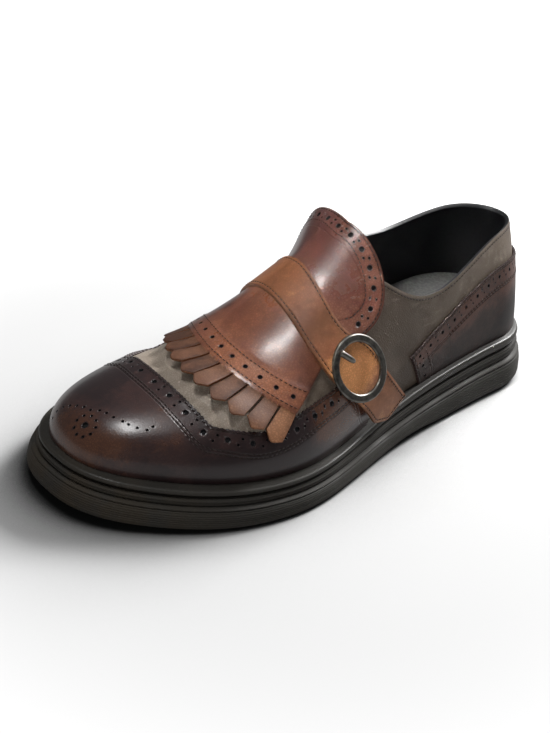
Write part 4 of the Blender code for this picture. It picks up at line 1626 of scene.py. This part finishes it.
def strip_columns():
    """Shares across the flap of the columns of every strip, with the slits between."""
    slit = 0.5 * STRIP_SLIT / FLAP_FRONT_HALF
    strips = []
    for i in range(STRIPS):
        left = -1.0 + 2.0 * i / STRIPS + (slit if i else 0.0)
        right = -1.0 + 2.0 * (i + 1) / STRIPS - (slit if i < STRIPS - 1 else 0.0)
        strips.append(np.linspace(left, right, STRIP_COLUMNS + 1))
    return strips


def kiltie_sheets():
    strips = strip_columns()
    columns = np.concatenate(strips)
    count = len(columns) - 1

    def body(run, across):
        q = np.interp(across * count, np.arange(count + 1), columns)
        x, girth, lift = kiltie_body(q, run)
        sides = np.where(q < 0.0, INNER_SIDE_TONE, OUTER_SIDE_TONE) * q * q
        # Painted highlight: the band is lightened on its outer half
        band = smooth((x - band_front(q) + BAND_BACK_ROW + BAND_GLINT_START) / BAND_GLINT_RUN)
        band = BAND_GLINT_TONE * (band * ramp(q, *BAND_GLINT_SIDE))
        tone = PLAIN_KILTIE - sides - KILTIE_BACK_TONE * ramp(run, *KILTIE_BACK_SHARE) + band
        return x, girth, lift, tone
    sheets = [(KILTIE_ROWS, count, body)]
    for strip, rise, cut, tone in zip(strips, STRIP_RISE, STRIP_CUT, STRIP_TONE):
        sheets.append((STRIP_ROWS, STRIP_COLUMNS, strip_spots(strip, rise, cut, tone)))
    return sheets


def strip_spots(strip, rise, cut, tone):
    middle = strip[STRIP_COLUMNS // 2]
    half = 0.5 * (strip[-1] - strip[0])
    lean = math.radians(STRIP_FAN) * middle
    length = STRIP_LENGTH - STRIP_SHORTENING * middle * middle - cut

    def spots(run, across):
        q = np.interp(across * STRIP_COLUMNS, np.arange(STRIP_COLUMNS + 1), strip)
        x, girth, lift = kiltie_body(q, 1.0)
        off = np.abs(q - middle) / half
        girth = girth + STRIP_FLARE * run * (q - middle) * FLAP_FRONT_HALF
        corner = np.maximum(off - STRIP_SHOULDER, 0.0) / (1.0 - STRIP_SHOULDER)
        reach = run * length * (1.0 - STRIP_POINT * corner * smooth(run / STRIP_NARROWING))
        lift = lift + rise * smooth(STRIP_RISE_PACE * reach / length)
        shade = tone - STRIP_SIDE_TONE * off ** 2
        return x + reach * math.cos(lean), girth + reach * math.sin(lean), lift, shade
    return spots


def kiltie_line(back):
    """Line across the band, this far behind the ends of the slits."""
    q = np.linspace(-BAND_REACH, BAND_REACH, BAND_SPOTS)
    x = band_front(q) - back
    girth = flap_centre(x) + q * FLAP_FRONT_HALF
    return flap_point(x, girth, BAND_LIFT + FLAP_THICK)


def mark_fringe(bm):
    """Give the outer faces of the strips the duller finish of the fringe."""
    layers = [bm.verts.layers.float[label] for label in PATTERN[:2]]
    for face in bm.faces:
        if face.material_index == OUTER_FACE:
            x, girth = (np.mean([vert[layer] for vert in face.verts]) for layer in layers)
            if x > band_front((girth - flap_centre(x)) / FLAP_FRONT_HALF):
                face.material_index = FRINGE_FACE


def make_kiltie():
    sizes = bpy.context.scene.loafer_sizes
    bm = cut_leather(kiltie_sheets(), KILTIE_PLACE, KILTIE_RIM)
    mark_fringe(bm)
    piece = finish_piece(bm, "kiltie_leather", ["kiltie", "back", "cut_light", "fringe"])
    sides = []
    share = np.linspace(0.0, 1.0, KILTIE_SIDE_SPOTS)
    for q in (-1.0, 1.0):
        x, girth, lift = kiltie_body(q, share)
        sides.append(flap_point(x, girth, lift + FLAP_THICK))
    edge_distance(piece, sides)
    rows = [kiltie_line(BAND_FRONT_ROW), kiltie_line(BAND_BACK_ROW)]
    sew("kiltie_stitching", piece, rows)
    middle = paced(kiltie_line(BAND_HOLES), BAND_PITCH, BAND_FIRST)[0]
    holes = [(point, BAND_HOLE_SHARE * sizes.big_hole / MM) for point in middle]
    punch(piece, holes, FLAP_PUNCH, "kiltie")
    take_over(piece, "kiltie")


# The tongue's round end, how it rises and widens behind the strap, and how its sides stand
TONGUE_ROUND = 3.0
TONGUE_RISE = (11.0, 28.0)
TONGUE_WIDENING = 20.0
INNER_STAND = 3.6
INNER_STAND_PACE = -1.6
OUTER_STAND = 0.5
TONGUE_ROWS = 44
TONGUE_COLUMNS = 72
TONGUE_RIM = 0.4
TONGUE_END_SPOTS = 200
TONGUE_SIDE_SPOTS = 60
TONGUE_STITCH_START = 22
TONGUE_HOLE_START = 30
TONGUE_PITCH = 10.2
TONGUE_FIRST = 3.0
TONGUE_PAIR = 1.7
# Painted shade darkens the tongue's inner side and painted light brightens its outer side
TONGUE_INNER_PAINTED_SHADE = 2.0
TONGUE_OUTER_PAINTED_LIGHT = 1.0
TONGUE_END_TONE = 0.3
TONGUE_END_SHARE = (0.6, 0.3)


def tongue_spot(q, share):
    """Spot of the tongue: q across, and a share of its length behind the strap."""
    outer = q > 0.0
    base = np.where(outer, TONGUE_OUTER.base, TONGUE_INNER.base)
    flare = np.where(outer, TONGUE_OUTER.flare, TONGUE_INNER.flare)
    half = np.where(outer, TONGUE_OUTER.half, TONGUE_INNER.half)
    tip = TONGUE_TIP + flare * np.abs(q)
    full = base + (tip - base) * np.sqrt(1.0 - np.abs(q) ** TONGUE_ROUND)
    back = full * share
    rise = ramp(back, *TONGUE_RISE)
    sides = 1.0 + INNER_STAND * smooth(INNER_STAND_PACE * q) - OUTER_STAND * smooth(q)
    stand = TONGUE_LIFT * sides
    wide = FLAP_BACK_HALF + (half - FLAP_BACK_HALF) * smooth(back / TONGUE_WIDENING)
    start = flap_seam(FLAP_MIDDLE + q * FLAP_BACK_HALF) - 0.5 * SEAM_GAP
    return start - back, FLAP_MIDDLE + q * wide, FLAP_LIFT + stand * rise


TONGUE_PLACE = flap_place(FLAP_THICK)


def round_share(across):
    """Share across the tongue whose steps are finer towards its sides."""
    return np.clip(np.sin(math.pi * (across - 0.5)), -1.0, 1.0)


def tongue_sheet():
    def spots(run, across):
        q = round_share(across)
        x, girth, lift = tongue_spot(q, run)
        # Painted shade on the inner side and painted light on the outer side
        sides = np.where(q < 0.0, TONGUE_INNER_PAINTED_SHADE, TONGUE_OUTER_PAINTED_LIGHT) * q
        return x, girth, lift, sides + TONGUE_END_TONE * ramp(run, *TONGUE_END_SHARE)
    return TONGUE_ROWS, TONGUE_COLUMNS, spots


def make_tongue():
    bm = cut_leather([tongue_sheet()], TONGUE_PLACE, TONGUE_RIM, both_rims=True)
    piece = finish_piece(bm, "tongue_leather", ["tongue", "back", "cut_light"])
    end = tongue_spot(round_share(np.linspace(0.0, 1.0, TONGUE_END_SPOTS)), np.ones(TONGUE_END_SPOTS))
    outer = tongue_spot(np.ones(TONGUE_SIDE_SPOTS), np.linspace(1.0, 0.0, TONGUE_SIDE_SPOTS))
    inner = tongue_spot(-np.ones(TONGUE_SIDE_SPOTS), np.linspace(0.0, 1.0, TONGUE_SIDE_SPOTS))
    spots = [np.concatenate((one[:-1], two, three[1:])) for one, two, three in zip(inner, end, outer)]
    line, out = outward(TONGUE_PLACE, spots)
    edge_distance(piece, [line])
    sewn = slice(TONGUE_STITCH_START, -TONGUE_STITCH_START)
    rows = [beside(line, out, -distance)[sewn] for distance in (EDGE_ROW, TONGUE_SEAM)]
    sew("tongue_stitching", piece, rows)
    part = slice(TONGUE_HOLE_START, -TONGUE_HOLE_START)
    holes = big_and_small(line[part], out[part], -TONGUE_HOLES, TONGUE_PITCH, TONGUE_FIRST, TONGUE_PAIR)
    punch(piece, holes, FLAP_PUNCH, "tongue")
    take_over(piece, "tongue")


STRAP_FLAT = (26.0, 14.0)
STRAP_STEP = 0.5
STRAP_ROWS = 190
STRAP_COLUMNS = 16
STRAP_RIM = 0.5
STRAP_SIDE_SPOTS = 240
STRAP_END_SPOTS = 41
PLAIN_STRAP = -0.35
# Painted light: the strap is lightened inside the buckle, around the ring's girth
STRAP_PAINTED_LIGHT = 1.5
STRAP_PAINTED_LIGHT_GIRTH = (55.0, 13.0)


def strap_flat(girth):
    """1 where the strap lies flat over the instep and 0 at the buckle."""
    return 1.0 - ramp(girth, *STRAP_FLAT)


def strap_skive(x, girth):
    """The strap is pared thinner over the instep."""
    return -STRAP_SKIVE * strap_flat(girth)


def strap_spot(girth, across):
    """Spot on the strap: girth of its middle line and a share of its half width."""
    slope = strap_along(girth + STRAP_STEP) - strap_along(girth - STRAP_STEP)
    slope = slope * LAST_LENGTH / (2.0 * STRAP_STEP)
    size = np.hypot(1.0, slope)
    wide = across * strap_half(girth)
    x = strap_along(girth) * LAST_LENGTH + wide / size
    lift = STRAP_LIFT + strap_lift(girth) - STRAP_EASE * strap_flat(girth)
    return x, girth - wide * slope / size, lift


def strap_girth(lane, run):
    """Girth on the strap's middle line for a lane and a share of the strap's length."""
    return STRAP[0].girth + (np.interp(lane, TAIL_LANES, TAIL_GIRTHS) - STRAP[0].girth) * run


STRAP_PLACE = flap_place(STRAP_THICK, strap_skive)


def strap_sheet():
    def spots(run, across):
        lane = 2.0 * across - 1.0
        x, girth, lift = strap_spot(strap_girth(lane, run), lane)
        # Painted light on the strap inside the buckle
        return x, girth, lift, STRAP_PAINTED_LIGHT * bell(girth, *STRAP_PAINTED_LIGHT_GIRTH) + PLAIN_STRAP
    return STRAP_ROWS, STRAP_COLUMNS, spots


def make_strap():
    bm = cut_leather([strap_sheet()], STRAP_PLACE, STRAP_RIM, both_rims=True)
    piece = finish_piece(bm, "strap_leather", ["strap", "back", "cut_light"])
    share = np.linspace(0.0, 1.0, STRAP_SIDE_SPOTS)
    side = np.ones(STRAP_SIDE_SPOTS)
    end = np.linspace(-1.0, 1.0, STRAP_END_SPOTS)[1:-1]
    lanes = np.concatenate((-side, end, side))
    runs = np.concatenate((share, np.ones(len(end)), share[::-1]))
    line, out = outward(STRAP_PLACE, strap_spot(strap_girth(lanes, runs), lanes))
    edge_distance(piece, [line])
    sew("strap_stitching", piece, [beside(line, out, -STRAP_ROW)])
    take_over(piece, "strap")


# Buckle


RING_STEP = 12.0
RING_SIDES = 20
RING_STEPS = 96
RING_GROOVE = 0.40
GROOVE_POWER = 6
RING_MERGE = 0.2 * MERGE
PRONG_STEPS = 20
PRONG_MERGE = 0.001
PRONG_WAY = (0.75, -0.66)

# Profile of the prong: share of its length and share of its radius
PRONG = ((0.0, 0.0), (0.0, 0.75), (0.03, 0.95), (0.1, 1.0), (0.6, 1.0), (0.8, 0.92), (0.93, 0.66),
         (0.985, 0.3), (1.0, 0.0))


def turned(bm, axis, steps):
    """Turn a profile once round an axis."""
    bmesh.ops.spin(bm, geom=bm.verts[:] + bm.edges[:], axis=axis, cent=(0.0, 0.0, 0.0),
                   angle=2.0 * math.pi, steps=steps, use_merge=True)


def ring_frame():
    """Middle of the buckle with its forward, downward and outward directions."""
    x = RING_ALONG * LAST_LENGTH
    grow = STRAP_LIFT + STRAP_THICK

    def spot(ahead, down):
        return Vector(flap_point(np.array(x + ahead), np.array(RING_GIRTH + down), grow))
    down = spot(0.0, RING_STEP) - spot(0.0, -RING_STEP)
    ahead = spot(RING_STEP, 0.0) - spot(-RING_STEP, 0.0)
    out = down.cross(ahead).normalized()
    if out.y < 0.0:
        out.negate()
    out = (out + RING_TILT * ahead.normalized() - RING_LEAN * down.normalized()).normalized()
    down = (down - out * down.dot(out)).normalized()
    ahead = out.cross(down).normalized()
    if ahead.x < 0.0:
        ahead.negate()
    return spot(0.0, 0.0), ahead, down, out


def ring_matrix():
    spot, ahead, down, out = ring_frame()
    turn = Matrix((ahead, down, out)).transposed().to_4x4()
    return Matrix.Translation(Vector(world(spot))) @ turn @ Matrix.Scale(MM, 4)


def make_ring():
    """Round frame turned from a profile with a groove between two rims."""
    bm = bmesh.new()
    profile = bmesh.ops.create_circle(bm, segments=RING_SIDES, radius=1.0)["verts"]
    for j, vert in enumerate(profile):
        angle = 2.0 * math.pi * j / RING_SIDES
        groove = RING_GROOVE * max(math.sin(angle), 0.0) ** GROOVE_POWER
        vert.co = (RING_RADIUS + RING_TUBE * math.cos(angle), 0.0,
                   RING_LIFT + RING_DEPTH * math.sin(angle) - groove)
    turned(bm, (0.0, 0.0, 1.0), RING_STEPS)
    bmesh.ops.transform(bm, matrix=ring_matrix(), verts=bm.verts[:])
    bmesh.ops.remove_doubles(bm, verts=bm.verts[:], dist=RING_MERGE)
    bmesh.ops.recalc_face_normals(bm, faces=bm.faces[:])
    take_over(finish_piece(bm, "buckle_ring_metal", ["metal"], ROUND_SHARP), "buckle_ring")


def make_prong():
    """Short turned peg on the ring that points to the middle of the buckle."""
    start = RING_RADIUS + PRONG_OVERHANG
    bm = bmesh.new()
    line = [bm.verts.new((start - PRONG_LENGTH * share, PRONG_RADIUS * size, 0.0)) for share, size in PRONG]
    for low, high in zip(line, line[1:]):
        bm.edges.new((low, high))
    turned(bm, (1.0, 0.0, 0.0), PRONG_STEPS)
    bmesh.ops.remove_doubles(bm, verts=bm.verts[:], dist=PRONG_MERGE)
    lift = Matrix.Translation((0.0, 0.0, RING_LIFT + RING_DEPTH + PRONG_RADIUS + 0.5 * SEAM_GAP))
    turn = Matrix.Rotation(math.atan2(PRONG_WAY[1], PRONG_WAY[0]), 4, "Z")
    bmesh.ops.transform(bm, matrix=ring_matrix() @ lift @ turn, verts=bm.verts[:])
    bmesh.ops.recalc_face_normals(bm, faces=bm.faces[:])
    take_over(finish_piece(bm, "buckle_prong_metal", ["metal"], RUBBER_SHARP), "buckle_prong")


# Sole


def sole_top(along):
    return feather(along) - sole_stack(along)


def midsole_top(along):
    return sole_top(along) + SEAM_GAP + MIDSOLE_SHARE * sole_stack(along)


def slab(rows, columns, cuts, place):
    """Slab with a plan outline: place gives a point for a station, a side and a level."""
    bm = bmesh.new()
    layers = [bm.verts.layers.float.new(label) for label in PATTERN]
    lay_sheet(bm, layers, rows, columns, lambda run, across: (stations(run), 2.0 * across - 1.0, 1.0, 0.0))

    def put(verts):
        put_in_place(verts, layers, lambda along, side, level, face: place(along, side, level),
                     OUTER_FACE)
    put(bm.verts[:])
    bmesh.ops.remove_doubles(bm, verts=bm.verts[:], dist=MERGE)
    made = bmesh.ops.extrude_face_region(bm, geom=bm.faces[:], use_keep_orig=True)["geom"]
    for item in made:
        if isinstance(item, bmesh.types.BMVert):
            item[layers[2]] = 0.0
    walls = [edge for edge in bm.edges if edge.verts[0][layers[2]] != edge.verts[1][layers[2]]]
    if cuts:
        bmesh.ops.subdivide_edges(bm, edges=walls, cuts=cuts, use_grid_fill=False)
    put(bm.verts[:])
    bmesh.ops.recalc_face_normals(bm, faces=bm.faces[:])
    return bm


# Rows, columns and cuts of the slabs
OUTSOLE_GRID = (110, 14, 53)
MIDSOLE_GRID = (90, 6, 19)
INSOLE_GRID = (80, 24, 9)

# Side of the outsole: its ribs and its lip, as levels from the floor to its top edge
RIBS = 9
RIB_FOOT = 0.10
RIB_REACH = 0.78
RIB_START = (0.06, 0.06)
RIB_END = (0.92, -0.05)
LIP = 0.4
LIP_LEVEL = (0.945, 0.03)
LIP_GROOVE = (0.875, 0.02)
SHOULDER_START = 0.95
SHOULDER_RUN = 0.05

# Tread: pitch, width and depth in millimetres, and lanes and stations that it covers
TREAD_PITCH = 5.0
TREAD_BORDER = 0.5
TREAD_DEPTH = 1.2
TREAD_LANES = (0.2, 0.8)
TREAD_STATIONS = (0.06, 0.94)
TREAD_ARCH = (0.30, 0.5)


def inside(value, limits):
    return limits[0] < value < limits[1]


def has_tread(along, side):
    """Whether the tread has a groove here."""
    if not inside(along, TREAD_STATIONS) or inside(along, TREAD_ARCH):
        return False
    return inside(abs(side), TREAD_LANES) and int(along * LAST_LENGTH / TREAD_PITCH) % 2 == 1


def make_outsole():
    """Ribbed rubber sole with a shallow tread."""
    rib = bpy.context.scene.loafer_sizes.rib_depth / MM

    def place(along, side, level):
        wave = 0.5 + 0.5 * np.cos(2.0 * math.pi * RIBS * (level - RIB_FOOT) / RIB_REACH)
        calm = ramp(level, *RIB_START) * ramp(level, *RIB_END)
        lip = LIP * bell(level, *LIP_LEVEL) - LIP * bell(level, *LIP_GROOVE)
        shoulder = LIP * np.maximum((level - SHOULDER_START) / SHOULDER_RUN, 0.0) ** 2
        spread = sole_edge(along) + side_spread(level) - rib * wave * calm + lip - shoulder
        x, y = plan_point(along, side, spread)
        low = floor_line(along)
        return np.stack((x, y, low + level * (sole_top(along) - low)), axis=-1)
    bm = slab(*OUTSOLE_GRID, place)
    rows, lanes, levels = (bm.verts.layers.float[label] for label in PATTERN[:3])
    grooves = []
    for face in bm.faces:
        count = len(face.verts)
        row = sum(vert[rows] for vert in face.verts) / count
        lane = sum(vert[lanes] for vert in face.verts) / count
        if max(vert[levels] for vert in face.verts) < AT_START and has_tread(row, lane):
            grooves.append(face)
    bmesh.ops.inset_region(bm, faces=grooves, thickness=TREAD_BORDER * MM, depth=-TREAD_DEPTH * MM)
    take_over(finish_piece(bm, "outsole_rubber", ["outsole"], RUBBER_SHARP), "outsole")


MIDSOLE_LINE = 0.5
UPPER_LINE = (0.70, 0.10)
LOWER_LINE = (0.30, 0.10)


def make_midsole():
    """Layer between the sole and the welt, with two fine moulded lines."""
    def place(along, side, level):
        line = bell(level, *UPPER_LINE) + bell(level, *LOWER_LINE)
        spread = sole_edge(along) - MIDSOLE_SET_BACK - MIDSOLE_LINE + MIDSOLE_LINE * line
        x, y = plan_point(along, side, spread)
        low = sole_top(along) + SEAM_GAP
        return np.stack((x, y, low + level * (midsole_top(along) - low)), axis=-1)
    bm = slab(*MIDSOLE_GRID, place)
    take_over(finish_piece(bm, "midsole_rubber", ["midsole"], RUBBER_SHARP), "midsole")


INSOLE_DISH = 1.4
DISH_POWER = 4
INSOLE_REACH = 1.2
INSOLE_ROUND = 0.6
ROUND_LEVEL = (0.8, 0.2)


def make_insole():
    """Sock inside the shoe with its heel seat, slightly dished where the foot rests."""
    def place(along, side, level):
        seat = HEEL_SEAT * (1.0 - ramp(along, SEAT_END, SEAT_RUN))
        reach = INSOLE_REACH * smooth(seat / HEEL_SEAT) * level
        spread = reach - (WALL + FEATHER_TUCK + INSOLE_CLEARANCE) - INSOLE_ROUND * ramp(level, *ROUND_LEVEL)
        x, y = plan_point(along, side, spread)
        low = midsole_top(along) + SEAM_GAP
        high = feather(along) + INSOLE_RISE + seat - INSOLE_DISH * (1.0 - side ** DISH_POWER)
        z = low + level * (high - low)
        x = x + heel_lean(along, np.maximum(z - feather(along), 0.0))
        return np.stack((x, y, z), axis=-1)
    bm = slab(*INSOLE_GRID, place)
    take_over(finish_piece(bm, "insole_sock", ["insole"], RUBBER_SHARP), "insole")


# Section of the welt from its inner foot: inside or outside edge, spread, share of its height
WELT = ((0, 0.0, 0.0), (0, 0.0, 1.0), (1, -2.6, 1.0), (1, -1.5, 0.93), (1, -0.6, 0.97), (1, 0.1, 0.88),
        (1, 0.55, 0.70), (1, 0.6, 0.50), (1, 0.3, 0.30), (1, -0.4, 0.12), (1, -0.8, 0.0))


WELT_ROWS = 220


def make_welt():
    """Ring under the edge of the upper with a rolled bead round the outside."""
    section = np.array(WELT + WELT[:1])
    bm = bmesh.new()
    layers = [bm.verts.layers.float.new(label) for label in PATTERN]
    lay_sheet(bm, layers, WELT_ROWS, len(WELT), lambda run, across: (run, across * len(WELT), 0.0, 0.0))

    def place(run, step, spare, face):
        lateral = run <= 0.5
        along = stations(np.where(lateral, 2.0 * run, 2.0 - 2.0 * run))
        side = np.where(lateral, 1.0, -1.0)
        i = np.minimum(np.round(step).astype(int), len(WELT))
        inner = section[i, 0] < 0.5
        spread = np.where(inner, -(WALL + FEATHER_TUCK), sole_edge(along) - WELT_SET_BACK + section[i, 1])
        x, y = plan_point(along, side, spread)
        low = midsole_top(along) + SEAM_GAP
        high = feather(along) - SEAM_GAP
        return np.stack((x, y, low + section[i, 2] * (high - low)), axis=-1)
    put_in_place(bm.verts[:], layers, place, OUTER_FACE)
    bmesh.ops.remove_doubles(bm, verts=bm.verts[:], dist=MERGE)
    bmesh.ops.dissolve_degenerate(bm, dist=0.5 * MERGE, edges=bm.edges[:])
    bmesh.ops.recalc_face_normals(bm, faces=bm.faces[:])
    take_over(finish_piece(bm, "welt_rubber", ["welt"], ROUND_SHARP), "welt")


# Stage

FLOOR_HALF = 3.0
GLOW_START = 0.15
GLOW_END = 0.46
GLOW = 0.8
FLOOR_BOUNCE = 0.5
FLOOR_TINT = 1.02
FLOOR_ROUGHNESS = 0.9
FLOOR_SPECULAR = 0.1
# Painted contact shadow on the floor, from ambient occlusion: its samples, its reach and lean, the
# occlusion range over which it fades, and its darkest share
PAINTED_SHADOW_SAMPLES = 16
BLACK = (0.0, 0.0, 0.0, 1.0)
WHITE = (1.0, 1.0, 1.0, 1.0)
PAINTED_SHADOW_REACH = 0.12
PAINTED_SHADOW_LEAN = (-0.62, 0.12, 0.78)
PAINTED_SHADOW_CLOSED = 0.36
PAINTED_SHADOW_OPEN = 0.94
PAINTED_SHADOW_DARKEST = 0.03
CAMERA_SPOT = (0.394806, 0.350318, 0.317120)
CAMERA_AIM = (0.0410, 0.0109, 0.0465)
CAMERA_ROLL = 8.23
CAMERA_SENSOR = 36.0
CAMERA_NEAR = 0.01
KEY_SPOT = (0.36, -0.12, 2.0)
KEY_AIM = (0.38, -0.07, 0.0)
KEY_SIZE = (0.22, 0.70)
BACK_SPOT = (-1.40, -0.12, 1.10)
BACK_AIM = (0.0, 0.0, 0.03)
BACK_SIZE = (0.6, 0.6)
FILL_SPOT = (1.00, 1.00, 0.45)
FILL_AIM = (0.03, 0.0, 0.03)
FILL_SIZE = (0.8, 0.8)
FRONT_SPOT = (1.00, 0.02, 1.12)
FRONT_AIM = (-0.02, 0.0, 0.09)
FRONT_SIZE = (0.12, 0.12)
FRONT_SPREAD = 7.0


def make_floor():
    bm = bmesh.new()
    bmesh.ops.create_grid(bm, x_segments=1, y_segments=1, size=FLOOR_HALF)
    mesh = bpy.data.meshes.new("floor")
    bm.to_mesh(mesh)
    bm.free()
    colour = bpy.context.scene.loafer_colours.floor
    material, tree, shader = new_material("Pale floor")
    spot = node(tree, "ShaderNodeTexCoord").outputs["Object"]
    seen = node(tree, "ShaderNodeLightPath").outputs["Is Camera Ray"]
    white = mixed(tree, noise(tree, spot, 3.0, 2.0)["Fac"], opaque(colour), opaque(colour, FLOOR_TINT))
    # Painted contact shadow: the floor's colour darkens where ambient occlusion finds the shoe close by
    lean = node(tree, "ShaderNodeCombineXYZ", dict(zip("XYZ", PAINTED_SHADOW_LEAN)))
    painted_shadow = node(tree, "ShaderNodeAmbientOcclusion",
                   {"Distance": PAINTED_SHADOW_REACH, "Normal": lean.outputs[0]}, samples=PAINTED_SHADOW_SAMPLES)
    shadow_free = ranged(tree, painted_shadow.outputs["AO"], PAINTED_SHADOW_CLOSED, PAINTED_SHADOW_OPEN, PAINTED_SHADOW_DARKEST, 1.0)
    white = mixed(tree, shadow_free, BLACK, white)
    tree.links.new(mixed(tree, seen, opaque(colour, FLOOR_BOUNCE), white), shader.inputs["Base Color"])
    away = node(tree, "ShaderNodeVectorMath", {0: spot}, operation="LENGTH").outputs["Value"]
    glow = maths(tree, "MULTIPLY", ranged(tree, away, GLOW_START, GLOW_END), seen)
    shine = mixed(tree, glow, BLACK, opaque(WHITE[:3], GLOW))
    tree.links.new(shine, shader.inputs["Emission Color"])
    shader.inputs["Emission Strength"].default_value = 1.0
    shader.inputs["Roughness"].default_value = FLOOR_ROUGHNESS
    shader.inputs["Specular IOR Level"].default_value = FLOOR_SPECULAR
    mesh.materials.append(material)
    floor = bpy.data.objects.new("floor", mesh)
    bpy.context.collection.objects.link(floor)


def look_at(spot, aim, roll=0.0):
    """Turn that points a camera or light from a spot at an aim."""
    way = Vector(aim) - Vector(spot)
    turn = way.to_track_quat("-Z", "Y")
    return turn @ Quaternion((0.0, 0.0, 1.0), math.radians(roll))


def add_light(name, spot, aim, size, power, spread=180.0, mirrored=True):
    light = bpy.data.lights.new(name, "AREA")
    light.shape = "RECTANGLE"
    light.size = size[0]
    light.size_y = size[1]
    light.energy = power
    light.spread = math.radians(spread)
    lamp = bpy.data.objects.new(name, light)
    lamp.location = spot
    lamp.visible_glossy = mirrored
    lamp.rotation_euler = look_at(spot, aim).to_euler()
    bpy.context.collection.objects.link(lamp)


def make_stage():
    scene = bpy.context.scene
    settings = scene.loafer_studio
    make_floor()
    scene.view_settings.view_transform = "Standard"
    surroundings = bpy.data.worlds.new("Surroundings")
    surroundings.use_nodes = True
    tree = surroundings.node_tree
    sky = tree.nodes["Background"]
    seen = node(tree, "ShaderNodeLightPath").outputs["Is Camera Ray"]
    dim = (settings.sky, settings.sky, settings.sky, 1.0)
    tree.links.new(mixed(tree, seen, dim, WHITE), sky.inputs["Color"])
    sky.inputs["Strength"].default_value = 1.0
    scene.world = surroundings
    add_light("key_light", KEY_SPOT, KEY_AIM, KEY_SIZE, settings.key_power)
    add_light("back_light", BACK_SPOT, BACK_AIM, BACK_SIZE, settings.back_power)
    add_light("fill_light", FILL_SPOT, FILL_AIM, FILL_SIZE, settings.fill_power, mirrored=False)
    add_light("front_light", FRONT_SPOT, FRONT_AIM, FRONT_SIZE, settings.front_power, FRONT_SPREAD)
    lens = bpy.data.cameras.new("camera")
    lens.lens = settings.lens
    lens.sensor_width = CAMERA_SENSOR
    lens.clip_start = CAMERA_NEAR
    camera = bpy.data.objects.new("camera", lens)
    camera.location = CAMERA_SPOT
    camera.rotation_euler = look_at(CAMERA_SPOT, CAMERA_AIM, CAMERA_ROLL).to_euler()
    bpy.context.collection.objects.link(camera)
    scene.camera = camera


class LOAFER_OT_sole(Operator):
    """Build the outsole, the midsole and the welt"""

    bl_idname = "loafer.sole"
    bl_label = "Sole"

    def execute(self, context):
        make_outsole()
        make_midsole()
        make_welt()
        return {"FINISHED"}


class LOAFER_OT_insole(Operator):
    """Build the sock inside the shoe"""

    bl_idname = "loafer.insole"
    bl_label = "Insole"

    def execute(self, context):
        make_insole()
        return {"FINISHED"}


class LOAFER_OT_upper(Operator):
    """Build the quarters and the vamp with their topline stitching"""

    bl_idname = "loafer.upper"
    bl_label = "Upper"

    def execute(self, context):
        make_upper()
        return {"FINISHED"}


class LOAFER_OT_wing_cap(Operator):
    """Build the wing cap with its gimped edge, holes and seams"""

    bl_idname = "loafer.wing_cap"
    bl_label = "Wing Cap"

    def execute(self, context):
        make_wing_cap()
        return {"FINISHED"}


class LOAFER_OT_heel_foxing(Operator):
    """Build the heel foxing with its gimped edge, holes and seams"""

    bl_idname = "loafer.heel_foxing"
    bl_label = "Heel Foxing"

    def execute(self, context):
        make_heel_foxing()
        return {"FINISHED"}


class LOAFER_OT_kiltie(Operator):
    """Build the fringed flap with its punched band"""

    bl_idname = "loafer.kiltie"
    bl_label = "Kiltie"

    def execute(self, context):
        make_kiltie()
        return {"FINISHED"}


class LOAFER_OT_tongue(Operator):
    """Build the tongue with its punched border"""

    bl_idname = "loafer.tongue"
    bl_label = "Tongue"

    def execute(self, context):
        make_tongue()
        return {"FINISHED"}


class LOAFER_OT_strap(Operator):
    """Build the strap with its stitched border"""

    bl_idname = "loafer.strap"
    bl_label = "Strap"

    def execute(self, context):
        make_strap()
        return {"FINISHED"}


class LOAFER_OT_buckle(Operator):
    """Build the round buckle and its prong"""

    bl_idname = "loafer.buckle"
    bl_label = "Buckle"

    def execute(self, context):
        make_ring()
        make_prong()
        return {"FINISHED"}


class LOAFER_OT_stage(Operator):
    """Set the floor, the light and the camera"""

    bl_idname = "loafer.stage"
    bl_label = "Stage"

    def execute(self, context):
        make_stage()
        return {"FINISHED"}


OPERATORS = (LOAFER_OT_stage, LOAFER_OT_sole, LOAFER_OT_insole, LOAFER_OT_upper, LOAFER_OT_wing_cap,
             LOAFER_OT_heel_foxing, LOAFER_OT_kiltie, LOAFER_OT_tongue, LOAFER_OT_strap, LOAFER_OT_buckle)


class LOAFER_PT_panel(Panel):
    """Pieces, sizes and colours of the loafer"""

    bl_idname = "LOAFER_PT_panel"
    bl_label = "Loafer"
    bl_space_type = "VIEW_3D"
    bl_region_type = "UI"
    bl_category = "Loafer"

    def draw(self, context):
        for operator in OPERATORS:
            self.layout.operator(operator.bl_idname)
        scene = context.scene
        for group in (scene.loafer_sizes, scene.loafer_colours, scene.loafer_studio):
            for label in group.__annotations__:
                self.layout.prop(group, label)


CLASSES = (LoaferSizes, LoaferColours, StudioSettings) + OPERATORS + (LOAFER_PT_panel,)


def register():
    for item in CLASSES:
        bpy.utils.register_class(item)
    bpy.types.Scene.loafer_sizes = PointerProperty(type=LoaferSizes)
    bpy.types.Scene.loafer_colours = PointerProperty(type=LoaferColours)
    bpy.types.Scene.loafer_studio = PointerProperty(type=StudioSettings)


def unregister():
    del bpy.types.Scene.loafer_studio
    del bpy.types.Scene.loafer_colours
    del bpy.types.Scene.loafer_sizes
    for item in reversed(CLASSES):
        bpy.utils.unregister_class(item)


def main():
    register()
    bpy.ops.loafer.stage()
    bpy.ops.loafer.sole()
    bpy.ops.loafer.insole()
    bpy.ops.loafer.upper()
    bpy.ops.loafer.wing_cap()
    bpy.ops.loafer.heel_foxing()
    bpy.ops.loafer.kiltie()
    bpy.ops.loafer.tongue()
    bpy.ops.loafer.strap()
    bpy.ops.loafer.buckle()


if __name__ == "__main__":
    main()
